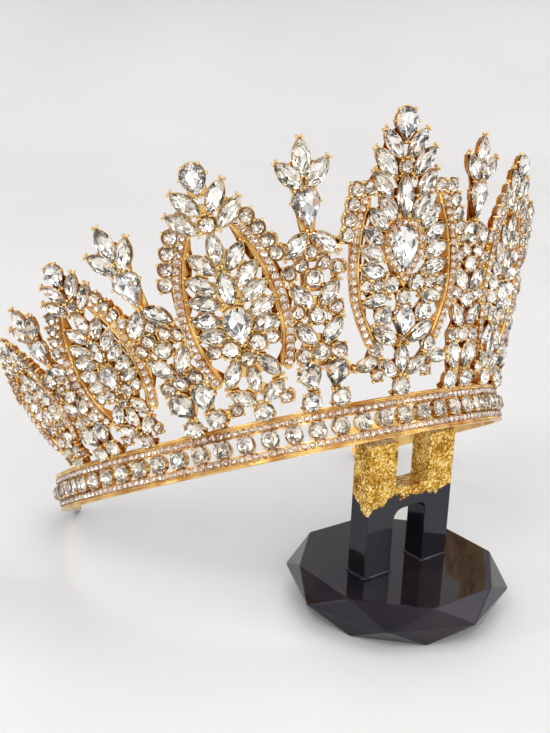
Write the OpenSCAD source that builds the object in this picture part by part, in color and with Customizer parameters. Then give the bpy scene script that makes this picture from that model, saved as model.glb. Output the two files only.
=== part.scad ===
// Pageant crown of gilt metal and clear crystals, leaning on its display stand.
// The crown is a ring arc with an open back. Its front rests on two posts and
// its two ends reach the table. Flat settings rise from the band and lean out.

/* [Crown] */
// Inner radius of the head band
band_radius = 75; // [68:0.5:82]
// Height of the band, rim to top rail
band_height = 12; // [11.5:0.1:15]
// How far the crown tips back from upright
crown_tilt = 27.5; // [20:0.5:32]
// How far the settings lean out from the band
flare = 22.8; // [10:0.2:30]

/* [Band] */
// Radial thickness of the two beaded strips
strip_depth = 1.5; // [1.2:0.1:2.2]
// Height of the lower and the upper beaded strip
strip_height = 2.7; // [2.5:0.1:3]
// Height of the plain lip under and over the strips
lip_height = 0.8; // [0.5:0.1:1.2]
// How far the plain lips stand out past the strips
lip_reach = 0.7; // [0.3:0.1:1.2]
// Distance between the middles of two neighbouring band stones
stone_pitch = 6.685; // [6.5:0.05:7.8]
// Width of a round band stone
band_stone = 4.3; // [3.6:0.1:4.5]

/* [Settings] */
// Thickness of the closed back of a setting
back_depth = 0.9; // [0.7:0.1:1.4]
// Height of the cup wall above that back
cup_depth = 1.3; // [1.2:0.1:2]
// Width of the metal rim around a stone
rim = 0.5; // [0.35:0.05:0.7]
// Clearance between a stone and its cup
seat_gap = 0.1; // [0.1:0.02:0.16]
// Width of the thin backing sheet around a stone
backing = 1.1; // [1:0.05:1.5]
// Width of the plain wire inside an arch
wire_width = 1.1; // [0.8:0.1:1.4]
// Width of the beaded strip outside that wire
bead_strip = 2.5; // [2:0.1:3]
// Width of the pave halo around the heart stone of the centre
halo_width = 2.1; // [1.6:0.1:2.6]
// Height of a cut stone above its girdle
crown_rise = 1.2; // [0.8:0.1:1.6]

/* [Stand] */
// Overall height of the stand
stand_height = 55; // [48:0.5:62]
// Thickness of the faceted base
base_height = 13; // [10:0.5:16]
// Corner radius of the flat top of the base
base_top_radius = 31; // [26:0.5:34]
// Corner radius of the widest line of the base
base_girdle_radius = 34.5; // [31:0.5:38]
// Corner radius of the underside of the base
base_foot_radius = 29; // [25:0.5:33]
// Width of one post
post_width = 10.3; // [8:0.1:12]
// Depth of a post, front to back
post_depth = 7.6; // [6:0.1:9]
// Clear width between the two posts
post_gap = 12.6; // [10:0.1:15]
// Sideways place of the stand under the crown
stand_offset = 4; // [0:0.5:6]
// Distance of the base's middle behind the front of the band
stand_back = 6; // [3:0.2:10]
// Turn of the stand under the crown
stand_turn = 5; // [0:1:10]

/* [Hidden] */
$fn = 48;

// Columns of a stone table. Rows with x above 0 are also mirrored.
// kind R is round, M marquise, P pear with its tip down. turn is in degrees.
// tier 1 is a main stone, 2 a stone of the field, 3 a small stone left out here.
KIND = 0; X = 1; Y = 2; WIDE = 3; LONG = 4; TURN = 5; TIER = 6;

CENTRE = [
    ["P", 0,    77.2, 7.0, 8.4,  0,   1],
    ["M", 4.2,  72.0, 4.0, 8.8,  -38, 2],
    ["M", 6.6,  67.0, 4.2, 9.6,  -42, 2],
    ["R", 0,    65.6, 3.6, 3.6,  0,   3],
    ["M", 7.6,  61.2, 4.0, 8.6,  -40, 2],
    ["M", 0,    57.6, 4.8, 11.4, 0,   2],
    ["M", 5.6,  54.6, 4.0, 8.4,  -38, 2],
    ["M", 9.0,  51.6, 3.8, 8.2,  -48, 2],
    ["R", 12.4, 60.2, 3.4, 3.4,  0,   3],
    ["P", 0,    42.6, 9.0, 13.0, 0,   1],
    ["M", 10.6, 47.0, 3.8, 8.0,  -58, 2],
    ["M", 11.0, 42.2, 3.8, 8.0,  -68, 2],
    ["M", 10.6, 37.4, 3.8, 8.0,  -74, 2],
    ["R", 4.4,  33.2, 4.4, 4.4,  0,   3],
    ["R", 9.2,  33.0, 3.4, 3.4,  0,   3],
    ["R", 13.2, 33.2, 3.0, 3.0,  0,   3],
    ["M", 9.6,  29.0, 3.4, 7.6,  80,  2],
    ["R", 0,    29.3, 4.0, 4.0,  0,   3],
    ["R", 7.0,  24.6, 4.8, 4.8,  0,   2],
    ["P", 0,    22.6, 6.2, 8.0,  0,   1],
    ["R", 0,    17.2, 2.2, 2.2,  0,   3],
    ["M", 6.2,  18.8, 4.0, 9.0,  -60, 2],
    ["R", 9.3,  15.0, 4.2, 4.2,  0,   3],
    ["M", 0,    11.6, 3.8, 8.0,  0,   2],
    ["M", 5.0,  9.2,  3.6, 7.6,  -52, 2],
    ["M", 12.3, 11.0, 3.4, 7.2,  78,  2],
    ["R", 8.6,  7.4,  3.0, 3.0,  0,   3],
    ["R", 0,    3.2,  4.8, 4.8,  0,   2],
    ["R", 16.6, 60.0, 3.6, 3.6,  0,   3],
    ["R", 17.8, 56.0, 3.6, 3.6,  0,   3],
    ["R", 18.9, 51.9, 3.6, 3.6,  0,   3],
    ["R", 19.6, 47.8, 3.6, 3.6,  0,   3]];

ARCH = [
    ["P", 0,    70.0, 6.2, 8.0,  0,   1],
    ["M", 4.1,  64.4, 4.0, 8.8,  -38, 2],
    ["M", 6.5,  59.4, 4.0, 9.0,  -46, 2],
    ["R", 0,    57.8, 4.2, 4.2,  0,   3],
    ["M", 0,    51.0, 3.6, 8.0,  0,   2],
    ["M", 4.5,  47.6, 3.7, 8.0,  -42, 2],
    ["M", 6.4,  42.2, 3.7, 8.2,  -52, 2],
    ["M", 7.0,  37.3, 3.7, 8.2,  -66, 2],
    ["M", 7.8,  32.5, 3.7, 7.4,  -72, 2],
    ["M", 7.4,  27.9, 3.6, 6.6,  -80, 2],
    ["M", 0,    39.9, 4.2, 10.0, 0,   2],
    ["P", 0,    28.8, 7.2, 9.6,  0,   1],
    ["R", 3.9,  23.1, 4.4, 4.4,  0,   3],
    ["R", 8.3,  23.6, 3.4, 3.4,  0,   3],
    ["R", 0,    19.4, 4.0, 4.0,  0,   3],
    ["M", 5.2,  16.0, 3.6, 7.6,  34,  2],
    ["M", 0,    13.2, 3.2, 7.0,  0,   2],
    ["M", 4.4,  8.6,  3.6, 7.4,  -54, 2],
    ["R", 7.2,  5.8,  3.0, 3.0,  0,   3],
    ["R", 0,    3.2,  4.8, 4.8,  0,   2],
    ["R", 10.6, 57.2, 3.6, 3.6,  0,   3],
    ["R", 12.6, 53.3, 3.6, 3.6,  0,   3],
    ["R", 14.2, 49.3, 3.6, 3.6,  0,   3],
    ["R", 15.5, 45.3, 3.6, 3.6,  0,   3]];

FINIAL = [
    ["M", 0,    70.6, 4.2, 9.2,  0,   2],
    ["M", 4.0,  66.2, 4.2, 8.8,  -42, 2],
    ["P", 0,    57.0, 7.2, 10.6, 0,   1],
    ["M", 4.0,  47.4, 4.2, 8.4,  50,  2],
    ["R", 0,    45.2, 3.0, 3.0,  0,   3],
    ["R", 3.2,  42.0, 3.4, 3.4,  0,   3],
    ["R", 6.8,  40.2, 3.4, 3.4,  0,   3],
    ["R", 0,    38.0, 4.6, 4.6,  0,   3],
    ["M", 3.9,  33.4, 3.8, 8.0,  -42, 2],
    ["R", 5.6,  29.2, 3.4, 3.4,  0,   3],
    ["R", 0,    27.6, 4.6, 4.6,  0,   3],
    ["M", 3.9,  22.8, 3.8, 8.0,  -40, 2],
    ["R", 0,    17.2, 4.4, 4.4,  0,   3],
    ["R", 5.2,  16.8, 3.8, 3.8,  0,   3],
    ["P", 3.9,  10.4, 6.0, 7.6,  -18, 2],
    ["R", 4.3,  3.2,  4.8, 4.8,  0,   2]];

// Plain wire of an arch, from its shoulder to its foot, with x and y columns.
CENTRE_WIRE = [[12.2, 57.5], [14.6, 50], [15.6, 44], [16, 38], [15.2, 30],
    [13.2, 24], [10.2, 17.6]];
ARCH_WIRE = [[5.6, 56.5], [9, 50], [11.2, 43], [12.3, 35], [12, 27],
    [10.6, 20], [8.6, 15]];

function mirrored(rows) = concat(rows, [for (r = rows) if (r[X] > 0)
    [r[KIND], -r[X], r[Y], r[WIDE], r[LONG], -r[TURN], r[TIER]]]);
function sized(rows, k) = [for (r = rows)
    [r[KIND], r[X] * k, r[Y] * k, r[WIDE] * k, r[LONG] * k, r[TURN], r[TIER]]];
// A shorter finial loses one tier of stones and what is above comes down.
function shortened(rows, low, high) = [for (r = rows)
    if (r[Y] < low || r[Y] > high)
    [r[KIND], r[X], r[Y] > high ? r[Y] - high + low : r[Y], r[WIDE], r[LONG],
     r[TURN], r[TIER]]];

// A slimmer finial fits between two arches that stand close.
function slimmed(rows, k) = [for (r = rows)
    [r[KIND], r[X] * k, r[Y], r[WIDE], r[LONG], r[TURN] * k, r[TIER]]];

// Columns of the motif table: place in band pitches from the centre, lean to
// its own side, stone rows, arch wire.
PLACE = 0; LEAN = 1; ROWS = 2; WIRE = 3;
SMALLER = 0.8;
SMALLEST = 0.62;
SLIMMER = 0.86;
FINIAL_2 = slimmed(shortened(FINIAL, 26.8, 37.2), SLIMMER);
M_CENTRE   = [0, 0, mirrored(CENTRE), CENTRE_WIRE];
M_FINIAL_1 = [3.42, 0, mirrored(FINIAL), []];
M_ARCH_1   = [5.96, 4.5, mirrored(ARCH), ARCH_WIRE];
M_FINIAL_2 = [8.35, 11.5, mirrored(FINIAL_2), []];
M_ARCH_2   = [11.2, 6, mirrored(sized(ARCH, SMALLER)), SMALLER * ARCH_WIRE];
M_FINIAL_3 = [13.4, 9.5, mirrored(sized(FINIAL_2, SMALLER)), []];
M_ARCH_3   = [15.65, 6, mirrored(sized(ARCH, SMALLEST)), SMALLEST * ARCH_WIRE];
PAIRED = [M_FINIAL_1, M_ARCH_1, M_FINIAL_2, M_ARCH_2, M_FINIAL_3, M_ARCH_3];

joint_swell = 0.1;   // how much wider a wire is where it bends
loose_min = 2.9;     // narrower stones are left to the look
halo_min = 8;        // only a wider stone has a halo
foot_sink = 1.6;     // how far a leg runs down into the band
band_outer = band_radius + strip_depth;
lip_outer = band_outer + lip_reach;
middle_low = lip_height + strip_height;
middle_high = band_height - middle_low;
plate_radius = band_radius + 0.2;
stone_level = back_depth + cup_depth - 0.1;
pavilion = cup_depth - 0.25;
table_share = 0.56;

rest_gap = 0.1;
band_pitch = stone_pitch / band_radius * 180 / PI;
post_far = abs(stand_offset) + (post_gap / 2 + post_width) * cos(stand_turn)
    + post_depth / 2 * sin(stand_turn);
rest_drop = band_radius * sin(crown_tilt) * (1 - cos(asin(post_far / band_radius)));
ring_z = stand_height + rest_gap + rest_drop - band_radius * sin(crown_tilt);
ring_end = acos(-(ring_z - 0.05) / (lip_outer * sin(crown_tilt)));
front_y = -band_radius * cos(crown_tilt);
stand_y = front_y + stand_back;
back_y = -lip_outer * cos(ring_end) * cos(crown_tilt) + band_height * sin(crown_tilt);
centre_y = (stand_y - base_girdle_radius * cos(stand_turn) + back_y) / 2;
side_count = floor((ring_end - 2.5) / band_pitch);

// Outlines of the cut stones, and the stones themselves
function lens_radius(w, l) = (l * l + w * w) / (4 * w);
function lens_point(w, l, y, s) =
    [s * (sqrt(max(0, pow(lens_radius(w, l), 2) - y * y)) - lens_radius(w, l) + w / 2), y];
function lens_outline(w, l, n) = concat(
    [for (i = [0:n]) lens_point(w, l, -l / 2 * cos(180 * i / n), 1)],
    [for (i = [1:n - 1]) lens_point(w, l, l / 2 * cos(180 * i / n), -1)]);
function pear_outline(w, l, n) = let(r = w / 2, a = acos(r / (l - r)))
    concat([[0, -l / 2]], [for (i = [0:n])
        let(t = -90 + a + (360 - 2 * a) * i / n) [r * cos(t), l / 2 - r + r * sin(t)]]);
function round_outline(w, n) = [for (i = [0:n - 1])
    w / 2 * [cos(360 * (i + 0.5) / n), sin(360 * (i + 0.5) / n)]];
function outline(kind, w, l) = kind == "R" ? round_outline(w, 8)
    : kind == "M" ? lens_outline(w, l, 5) : pear_outline(w, l, 8);
function belly(kind, w, l) = kind == "P" ? (l - w) / 4 : 0;

module gem(kind, w, l) {
    o = outline(kind, w, l);
    n = len(o);
    b = belly(kind, w, l);
    points = concat([for (p = o) [p[0], p[1], 0]],
        [for (p = o) [p[0] * table_share, b + (p[1] - b) * table_share, crown_rise]],
        [[0, b, -pavilion]]);
    faces = concat([[for (i = [n - 1:-1:0]) n + i]],
        [for (i = [0:n - 1]) [i, n + i, n + (i + 1) % n, (i + 1) % n]],
        [for (i = [0:n - 1]) [i, (i + 1) % n, 2 * n]]);
    polyhedron(points, faces);
}

module stone(r) {
    translate([r[X], r[Y], stone_level]) rotate([0, 0, r[TURN]])
        gem(r[KIND], r[WIDE], r[LONG]);
}

// Plan of a setting: cups, backing sheet, wire and legs
module shape(kind, w, l) {
    if (kind == "R") circle(d = w);
    else if (kind == "P") polygon(pear_outline(w, l, 14));
    else intersection() {
        translate([lens_radius(w, l) - w / 2, 0]) circle(r = lens_radius(w, l));
        translate([w / 2 - lens_radius(w, l), 0]) circle(r = lens_radius(w, l));
    }
}

module grown(r, g) {
    tip = r[KIND] == "R" ? 1 : 1.5;
    translate([r[X], r[Y]]) rotate(r[TURN])
        shape(r[KIND], r[WIDE] + 2 * g, r[LONG] + 2 * g * tip);
}

module bar(a, b, w) {
    d = b - a;
    translate(a) rotate(atan2(d[1], d[0])) translate([0, -w / 2]) square([norm(d), w]);
}

module legs(rows) {
    for (r = rows) if (r[Y] < 3.4 && r[WIDE] > 2)
        translate([r[X] - 1.1, -foot_sink]) square([2.2, r[Y] + foot_sink]);
}

module along(points, w) {
    for (i = [0:len(points) - 2]) bar(points[i], points[i + 1], w);
    for (p = points) translate(p) circle(d = w + joint_swell);
}

// Points of a line set off by g from the wire, outward
function unit(v) = v / norm(v);
function set_off(points, g) = [for (i = [0:len(points) - 1])
    let(a = points[max(i - 1, 0)], b = points[min(i + 1, len(points) - 1)], d = unit(b - a))
    points[i] + g * [-d[1], d[0]]];
function flipped(points) = [for (p = points) [-p[0], p[1]]];

module arch(points) {
    strip = set_off(points, (wire_width + bead_strip) / 2 - 0.1);
    for (side = [points, flipped(points)]) along(side, wire_width);
    for (side = [strip, flipped(strip)]) along(side, bead_strip);
}

module plate(motif) {
    rows = motif[ROWS];
    difference() {
        union() {
            linear_extrude(back_depth) {
                for (r = rows) grown(r, seat_gap + backing);
                legs(rows);
            }
            linear_extrude(back_depth + cup_depth) {
                for (r = rows) grown(r, seat_gap + rim);
                for (r = rows) if (r[WIDE] > halo_min) grown(r, seat_gap + rim + halo_width);
                if (len(motif[WIRE]) > 1) arch(motif[WIRE]);
            }
        }
        translate([0, 0, back_depth]) linear_extrude(cup_depth + 1)
            for (r = rows) grown(r, seat_gap);
    }
}

// Stands a motif on the band. side is -1 for left, 1 for right.
module mounted(motif, side) {
    rotate([0, 0, side * motif[PLACE] * band_pitch])
        translate([0, -plate_radius, band_height])
            rotate([90 + flare, 0, 0]) rotate([0, 0, -side * motif[LEAN]]) children();
}

module posed() {
    translate([0, -centre_y, ring_z]) rotate([-crown_tilt, 0, 0]) children();
}

// The head band, a ring arc open at the back
module arc_ring(r1, r2, z1, z2) {
    rotate([0, 0, -90 - ring_end]) rotate_extrude(angle = 2 * ring_end, $fn = 180)
        translate([r1, z1]) square([r2 - r1, z2 - z1]);
}

module on_band(i) {
    rotate([0, 0, i * band_pitch])
        translate([0, -band_radius, band_height / 2])
            rotate([90, 0, 0]) children();
}

module band_cup() {
    r = band_stone / 2 + seat_gap;
    translate([0, 0, 0.25]) cylinder(r = r + 0.35, h = back_depth - 0.25);
    translate([0, 0, back_depth - 0.01]) difference() {
        cylinder(r = r + 0.35, h = cup_depth);
        translate([0, 0, -1]) cylinder(r = r, h = cup_depth + 2);
    }
}

module band() {
    arc_ring(band_radius, lip_outer, 0, lip_height);
    arc_ring(band_radius, band_outer, lip_height / 2, middle_low);
    arc_ring(band_radius, band_outer, middle_high, band_height - lip_height / 2);
    arc_ring(band_radius, lip_outer, band_height - lip_height, band_height);
    for (i = [-side_count:side_count]) on_band(i) band_cup();
}

// The six settings of the left side. The right side is their mirror image.
module side_settings() {
    for (m = PAIRED) mounted(m, -1) plate(m);
}

module crown_frame() {
    color("goldenrod") posed() union() {
        band();
        mounted(M_CENTRE, 1) plate(M_CENTRE);
        union() side_settings();
        mirror([1, 0, 0]) side_settings();
    }
}

// Every stone node is a field of a motif or one of its main stones
module field(motif, side) {
    color("lightcyan") posed() mounted(motif, side)
        for (r = motif[ROWS]) if (r[TIER] == 2 && r[WIDE] >= loose_min) stone(r);
}

module main_stone(motif, side, nth) {
    mains = [for (r = motif[ROWS]) if (r[TIER] == 1) r];
    color("aliceblue") posed() mounted(motif, side) stone(mains[nth]);
}

module band_stones() {
    color("azure") posed() for (i = [-side_count:side_count])
        on_band(i) translate([0, 0, stone_level]) gem("R", band_stone, band_stone);
}

module centre_stones() field(M_CENTRE, 1);
module centre_top_pear() main_stone(M_CENTRE, 1, 0);
module centre_heart_pear() main_stone(M_CENTRE, 1, 1);
module centre_drop_pear() main_stone(M_CENTRE, 1, 2);
module finial_1_left_stones() field(M_FINIAL_1, -1);
module finial_1_right_stones() field(M_FINIAL_1, 1);
module finial_1_left_pear() main_stone(M_FINIAL_1, -1, 0);
module finial_1_right_pear() main_stone(M_FINIAL_1, 1, 0);
module arch_1_left_stones() field(M_ARCH_1, -1);
module arch_1_right_stones() field(M_ARCH_1, 1);
module arch_1_left_top_pear() main_stone(M_ARCH_1, -1, 0);
module arch_1_right_top_pear() main_stone(M_ARCH_1, 1, 0);
module arch_1_left_heart_pear() main_stone(M_ARCH_1, -1, 1);
module arch_1_right_heart_pear() main_stone(M_ARCH_1, 1, 1);
module finial_2_left_stones() field(M_FINIAL_2, -1);
module finial_2_right_stones() field(M_FINIAL_2, 1);
module finial_2_left_pear() main_stone(M_FINIAL_2, -1, 0);
module finial_2_right_pear() main_stone(M_FINIAL_2, 1, 0);
module arch_2_left_stones() field(M_ARCH_2, -1);
module arch_2_right_stones() field(M_ARCH_2, 1);
module arch_2_left_top_pear() main_stone(M_ARCH_2, -1, 0);
module arch_2_right_top_pear() main_stone(M_ARCH_2, 1, 0);
module arch_2_left_heart_pear() main_stone(M_ARCH_2, -1, 1);
module arch_2_right_heart_pear() main_stone(M_ARCH_2, 1, 1);
module finial_3_left_stones() field(M_FINIAL_3, -1);
module finial_3_right_stones() field(M_FINIAL_3, 1);
module finial_3_left_pear() main_stone(M_FINIAL_3, -1, 0);
module finial_3_right_pear() main_stone(M_FINIAL_3, 1, 0);
module arch_3_left_top_pear() main_stone(M_ARCH_3, -1, 0);
module arch_3_right_top_pear() main_stone(M_ARCH_3, 1, 0);
module arch_3_left_heart_pear() main_stone(M_ARCH_3, -1, 1);
module arch_3_right_heart_pear() main_stone(M_ARCH_3, 1, 1);

// The display stand
function octagon(r, turn, z) = [for (i = [0:7])
    [r * cos(45 * i + turn), r * sin(45 * i + turn), z]];

module stand_base() {
    points = concat(octagon(base_foot_radius, 22.5, 0),
        octagon(base_girdle_radius, 0, base_height * 0.55),
        octagon(base_top_radius, 22.5, base_height));
    faces = concat([[for (i = [0:7]) i]], [[for (i = [7:-1:0]) 16 + i]],
        [for (i = [0:7]) [i, 8 + (i + 1) % 8, (i + 1) % 8]],
        [for (i = [0:7]) [i, 8 + i, 8 + (i + 1) % 8]],
        [for (i = [0:7]) [8 + i, 16 + i, 8 + (i + 1) % 8]],
        [for (i = [0:7]) [8 + (i + 1) % 8, 16 + i, 16 + (i + 1) % 8]]);
    color("dimgray") translate([stand_offset + 1.2, stand_y - centre_y, 0])
        rotate(stand_turn) polyhedron(points, faces);
}

module stand_posts() {
    tall = stand_height - base_height;
    width = 2 * post_width + post_gap;
    color("orange") translate([stand_offset, front_y + 0.4 + post_depth / 2 - centre_y, base_height])
        rotate(stand_turn) translate([-width / 2, -post_depth / 2, 0]) union() {
            for (x = [0, post_width + post_gap]) translate([x, 0, 0])
                cube([post_width, post_depth, tall]);
            translate([0, 0, tall * 0.48]) cube([width, post_depth, tall * 0.16]);
        }
}

crown_frame();
band_stones();
centre_stones();
centre_top_pear();
centre_heart_pear();
centre_drop_pear();
finial_1_left_stones();
finial_1_right_stones();
finial_1_left_pear();
finial_1_right_pear();
arch_1_left_stones();
arch_1_right_stones();
arch_1_left_top_pear();
arch_1_right_top_pear();
arch_1_left_heart_pear();
arch_1_right_heart_pear();
finial_2_left_stones();
finial_2_right_stones();
finial_2_left_pear();
finial_2_right_pear();
arch_2_left_stones();
arch_2_right_stones();
arch_2_left_top_pear();
arch_2_right_top_pear();
arch_2_left_heart_pear();
arch_2_right_heart_pear();
finial_3_left_stones();
finial_3_right_stones();
finial_3_left_pear();
finial_3_right_pear();
arch_3_left_top_pear();
arch_3_right_top_pear();
arch_3_left_heart_pear();
arch_3_right_heart_pear();
stand_base();
stand_posts();
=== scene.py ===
"""Dresses the pageant crown and its display stand, and sets the studio around them.

Lengths are millimetres and angles are degrees, unless a comment says metres. The crown's pieces
are gathered in millimetres and end in metres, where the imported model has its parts.
"""

import logging
import math
import random
from abc import ABC, abstractmethod
from collections.abc import Iterable, Sequence
from dataclasses import dataclass, field, replace
from enum import Enum
from functools import cache, cached_property

import bmesh
import bpy
from mathutils import Matrix, Vector

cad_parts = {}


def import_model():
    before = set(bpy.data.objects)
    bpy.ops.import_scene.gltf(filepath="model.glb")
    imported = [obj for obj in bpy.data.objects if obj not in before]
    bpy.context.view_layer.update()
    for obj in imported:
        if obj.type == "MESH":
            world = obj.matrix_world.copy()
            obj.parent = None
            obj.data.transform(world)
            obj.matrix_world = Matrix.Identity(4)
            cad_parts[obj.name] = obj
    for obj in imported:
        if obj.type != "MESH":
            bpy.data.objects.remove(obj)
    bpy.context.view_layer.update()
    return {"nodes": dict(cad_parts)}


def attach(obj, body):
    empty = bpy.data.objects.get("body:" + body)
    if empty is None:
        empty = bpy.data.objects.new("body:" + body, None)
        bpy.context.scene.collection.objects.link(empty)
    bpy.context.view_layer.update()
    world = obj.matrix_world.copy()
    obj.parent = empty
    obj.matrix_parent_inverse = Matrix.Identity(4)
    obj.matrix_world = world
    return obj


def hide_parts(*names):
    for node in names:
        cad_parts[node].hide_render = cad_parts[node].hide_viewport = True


LOG = logging.getLogger("crown")
MM = 0.001
TO_METRES = Matrix.Scale(MM, 4)
SEED = 4214
# Where the four claws of a round stone stand.
CORNERS = (45, 135, 225, 315)

Row = tuple[str, float, float, float, float, float, int]
Ring = tuple[float, float, int, float]
Tint = tuple[float, float, float]


def turn_x(angle: float) -> Matrix:
    """Returns a turn about X by an angle in degrees."""
    return Matrix.Rotation(math.radians(angle), 4, "X")


def turn_y(angle: float) -> Matrix:
    """Returns a turn about Y by an angle in degrees."""
    return Matrix.Rotation(math.radians(angle), 4, "Y")


def turn_z(angle: float) -> Matrix:
    """Returns a turn about Z by an angle in degrees."""
    return Matrix.Rotation(math.radians(angle), 4, "Z")


def shift(x: float, y: float, z: float) -> Matrix:
    """Returns a move by three distances."""
    return Matrix.Translation((x, y, z))


def only(kind: type, geom: Iterable[object]) -> list:
    """Returns the elements of one kind among an operator's results."""
    return [g for g in geom if isinstance(g, kind)]


class Cut(Enum):
    """The outline a stone is cut to."""

    ROUND = "R"
    MARQUISE = "M"
    PEAR = "P"


class Side(Enum):
    """The side of the crown that a setting stands on."""

    LEFT = -1
    MIDDLE = 0
    RIGHT = 1


class Slot(Enum):
    """The record's material slots."""

    GILT = "gilt_metal"
    CRYSTAL = "crystal"
    BLACK = "black_resin"
    AMBER = "amber_resin"


@dataclass(frozen=True)
class Outline:
    """The plan of a stone, centred on the origin, with a pear's tip down.

    Attributes:
        cut: The kind of outline.
        wide: Width along x.
        long: Length along y.
    """

    cut: Cut
    wide: float
    long: float

    @property
    def belly(self) -> float:
        """Height of the widest line above the outline's middle."""
        return (self.long - self.wide) / 2 if self.cut is Cut.PEAR else 0.0

    @property
    def tip_share(self) -> float:
        """How many times as far a cup's rim stands off at the ends as at the sides."""
        return 1.0 if self.cut is Cut.ROUND else 1.5

    def half_width(self, y: float) -> float:
        """Works out how far the outline reaches from its long axis.

        Args:
            y: Height of the line asked about.

        Returns:
            The half width there.
        """
        r = self.wide / 2
        if self.cut is Cut.MARQUISE:
            arc = (self.long**2 + self.wide**2) / (4 * self.wide)
            return max(0.0, math.sqrt(max(0.0, arc * arc - y * y)) - arc + r)
        if self.cut is Cut.PEAR:
            reach = self.long - r
            slope = math.asin(min(1.0, r / reach))
            if y - self.belly < -r * math.sin(slope):
                return (y + self.long / 2) * math.tan(slope)
        return math.sqrt(max(0.0, r * r - (y - self.belly) ** 2))

    def point(self, angle: float, share: float = 1.0) -> Vector:
        """Gives the outline's point at an angle.

        Args:
            angle: Angle round the stone, in radians.
            share: How far out from the belly the point is.

        Returns:
            The point, at height zero.
        """
        s = math.sin(angle)
        top = self.long / 2 - self.belly
        y = self.belly + s * (top if s > 0 else self.long - top)
        x = math.copysign(self.half_width(y), math.cos(angle))
        if abs(math.cos(angle)) < 1e-6:
            x = 0.0
        return Vector((x * share, self.belly + (y - self.belly) * share, 0.0))

    def points_at(self, angles: Iterable[float]) -> list[Vector]:
        """Returns the outline's points at angles in degrees."""
        return [self.point(math.radians(angle)) for angle in angles]

    def grown(self, reach: float) -> "Outline":
        """Returns the outline set off outward by reach."""
        return Outline(self.cut, self.wide + 2 * reach, self.long + 2 * reach)

    def holds(self, spot: Vector, reach: float) -> bool:
        """Tells whether a cup's outline holds a spot.

        Args:
            spot: A place in the outline's own axes.
            reach: How far the cup is set off.

        Returns:
            Whether the spot is inside.
        """
        ends = 2 * reach * self.tip_share
        wider = Outline(self.cut, self.wide + 2 * reach, self.long + ends)
        return abs(spot.y) <= wider.long / 2 and abs(spot.x) <= wider.half_width(spot.y)

    def reach_of(self, spot: Vector, most: float) -> float:
        """Works out how far outside the outline a spot is, by halving.

        Args:
            spot: A place in the outline's own axes.
            most: The farthest that counts.

        Returns:
            The distance, or infinity if it is more than the most.
        """
        if not self.holds(spot, most):
            return math.inf
        low, high = -self.wide / 2 + 0.05, most
        for _ in range(9):
            middle = (low + high) / 2
            low, high = (low, middle) if self.holds(spot, middle) else (middle, high)
        return high


@dataclass(frozen=True)
class Stone:
    """A stone at its place on a setting's flat.

    Attributes:
        outline: Its plan.
        x: Place across the setting.
        y: Place up the setting.
        turn: Angle it is turned by.
        tier: 1 for a main stone, 2 for a middling one, 3 for a small one.
    """

    outline: Outline
    x: float
    y: float
    turn: float
    tier: int

    @classmethod
    def from_row(cls, row: Row) -> "Stone":
        """Returns the stone that a table's row describes."""
        kind, x, y, wide, long, turn, tier = row
        return cls(Outline(Cut(kind), wide, long), x, y, turn, tier)

    def scaled(self, k: float) -> "Stone":
        """Returns the stone of a setting made k times as large."""
        plan = Outline(self.outline.cut, self.outline.wide * k, self.outline.long * k)
        return replace(self, outline=plan, x=self.x * k, y=self.y * k)

    def mirrored(self) -> "Stone":
        """Returns the stone's twin across the middle of the setting."""
        return replace(self, x=-self.x, turn=-self.turn)

    def slimmed(self, k: float) -> "Stone":
        """Returns the stone moved and turned towards the middle line."""
        return replace(self, x=self.x * k, turn=self.turn * k)

    def lowered(self, low: float, high: float) -> "Stone":
        """Returns the stone after what lies between two heights is taken out."""
        return replace(self, y=self.y - high + low if self.y > high else self.y)

    def place(self, level: float) -> Matrix:
        """Returns the matrix that puts the stone's girdle at a level."""
        return shift(self.x, self.y, level) @ turn_z(self.turn)


@dataclass(frozen=True)
class CutStyle:
    """Proportions of the facets, as shares of the width or of the outline.

    Attributes:
        table: Size of the flat on top.
        kite: Size of the ring of corners between table and girdle.
        kite_level: Height of that ring as a share of the crown.
        rise: Height of the crown as a share of the width.
        tallest: The most that the crown stands up.
        lower: Size of the ring of corners on the back.
        lower_level: Depth of that ring as a share of the back.
        depth: Depth of the foiled back as a share of the width.
        deepest: The most that the back goes down.
        point: Size of the back's blunt point.
        corners: Number of corners of the table.
    """

    table: float = 0.5
    kite: float = 0.79
    kite_level: float = 0.6
    rise: float = 0.3
    tallest: float = 1.7
    lower: float = 0.5
    lower_level: float = 0.64
    depth: float = 0.36
    deepest: float = 1.15
    point: float = 0.04
    corners: int = 8

    def rings(self, outline: Outline) -> list[Ring]:
        """Lists the rings of corners from the table to the back's point.

        Args:
            outline: The plan the stone is cut to.

        Returns:
            Rows of share, level, number of corners and first angle.
        """
        half_step = math.pi / self.corners
        rise = min(self.rise * outline.wide, self.tallest)
        deep = min(self.depth * outline.wide, self.deepest)
        return [
            (self.table, rise, self.corners, half_step),
            (self.kite, rise * self.kite_level, self.corners, 0.0),
            (1.0, 0.0, 2 * self.corners, 0.0),
            (self.lower, -deep * self.lower_level, self.corners, half_step),
            (self.point, -deep, 4, 0.0),
        ]


FINE_CUT = CutStyle()
PAVE_CUT = CutStyle(table=0.55, kite=0.8, corners=6, rise=0.28, depth=0.2)


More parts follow.
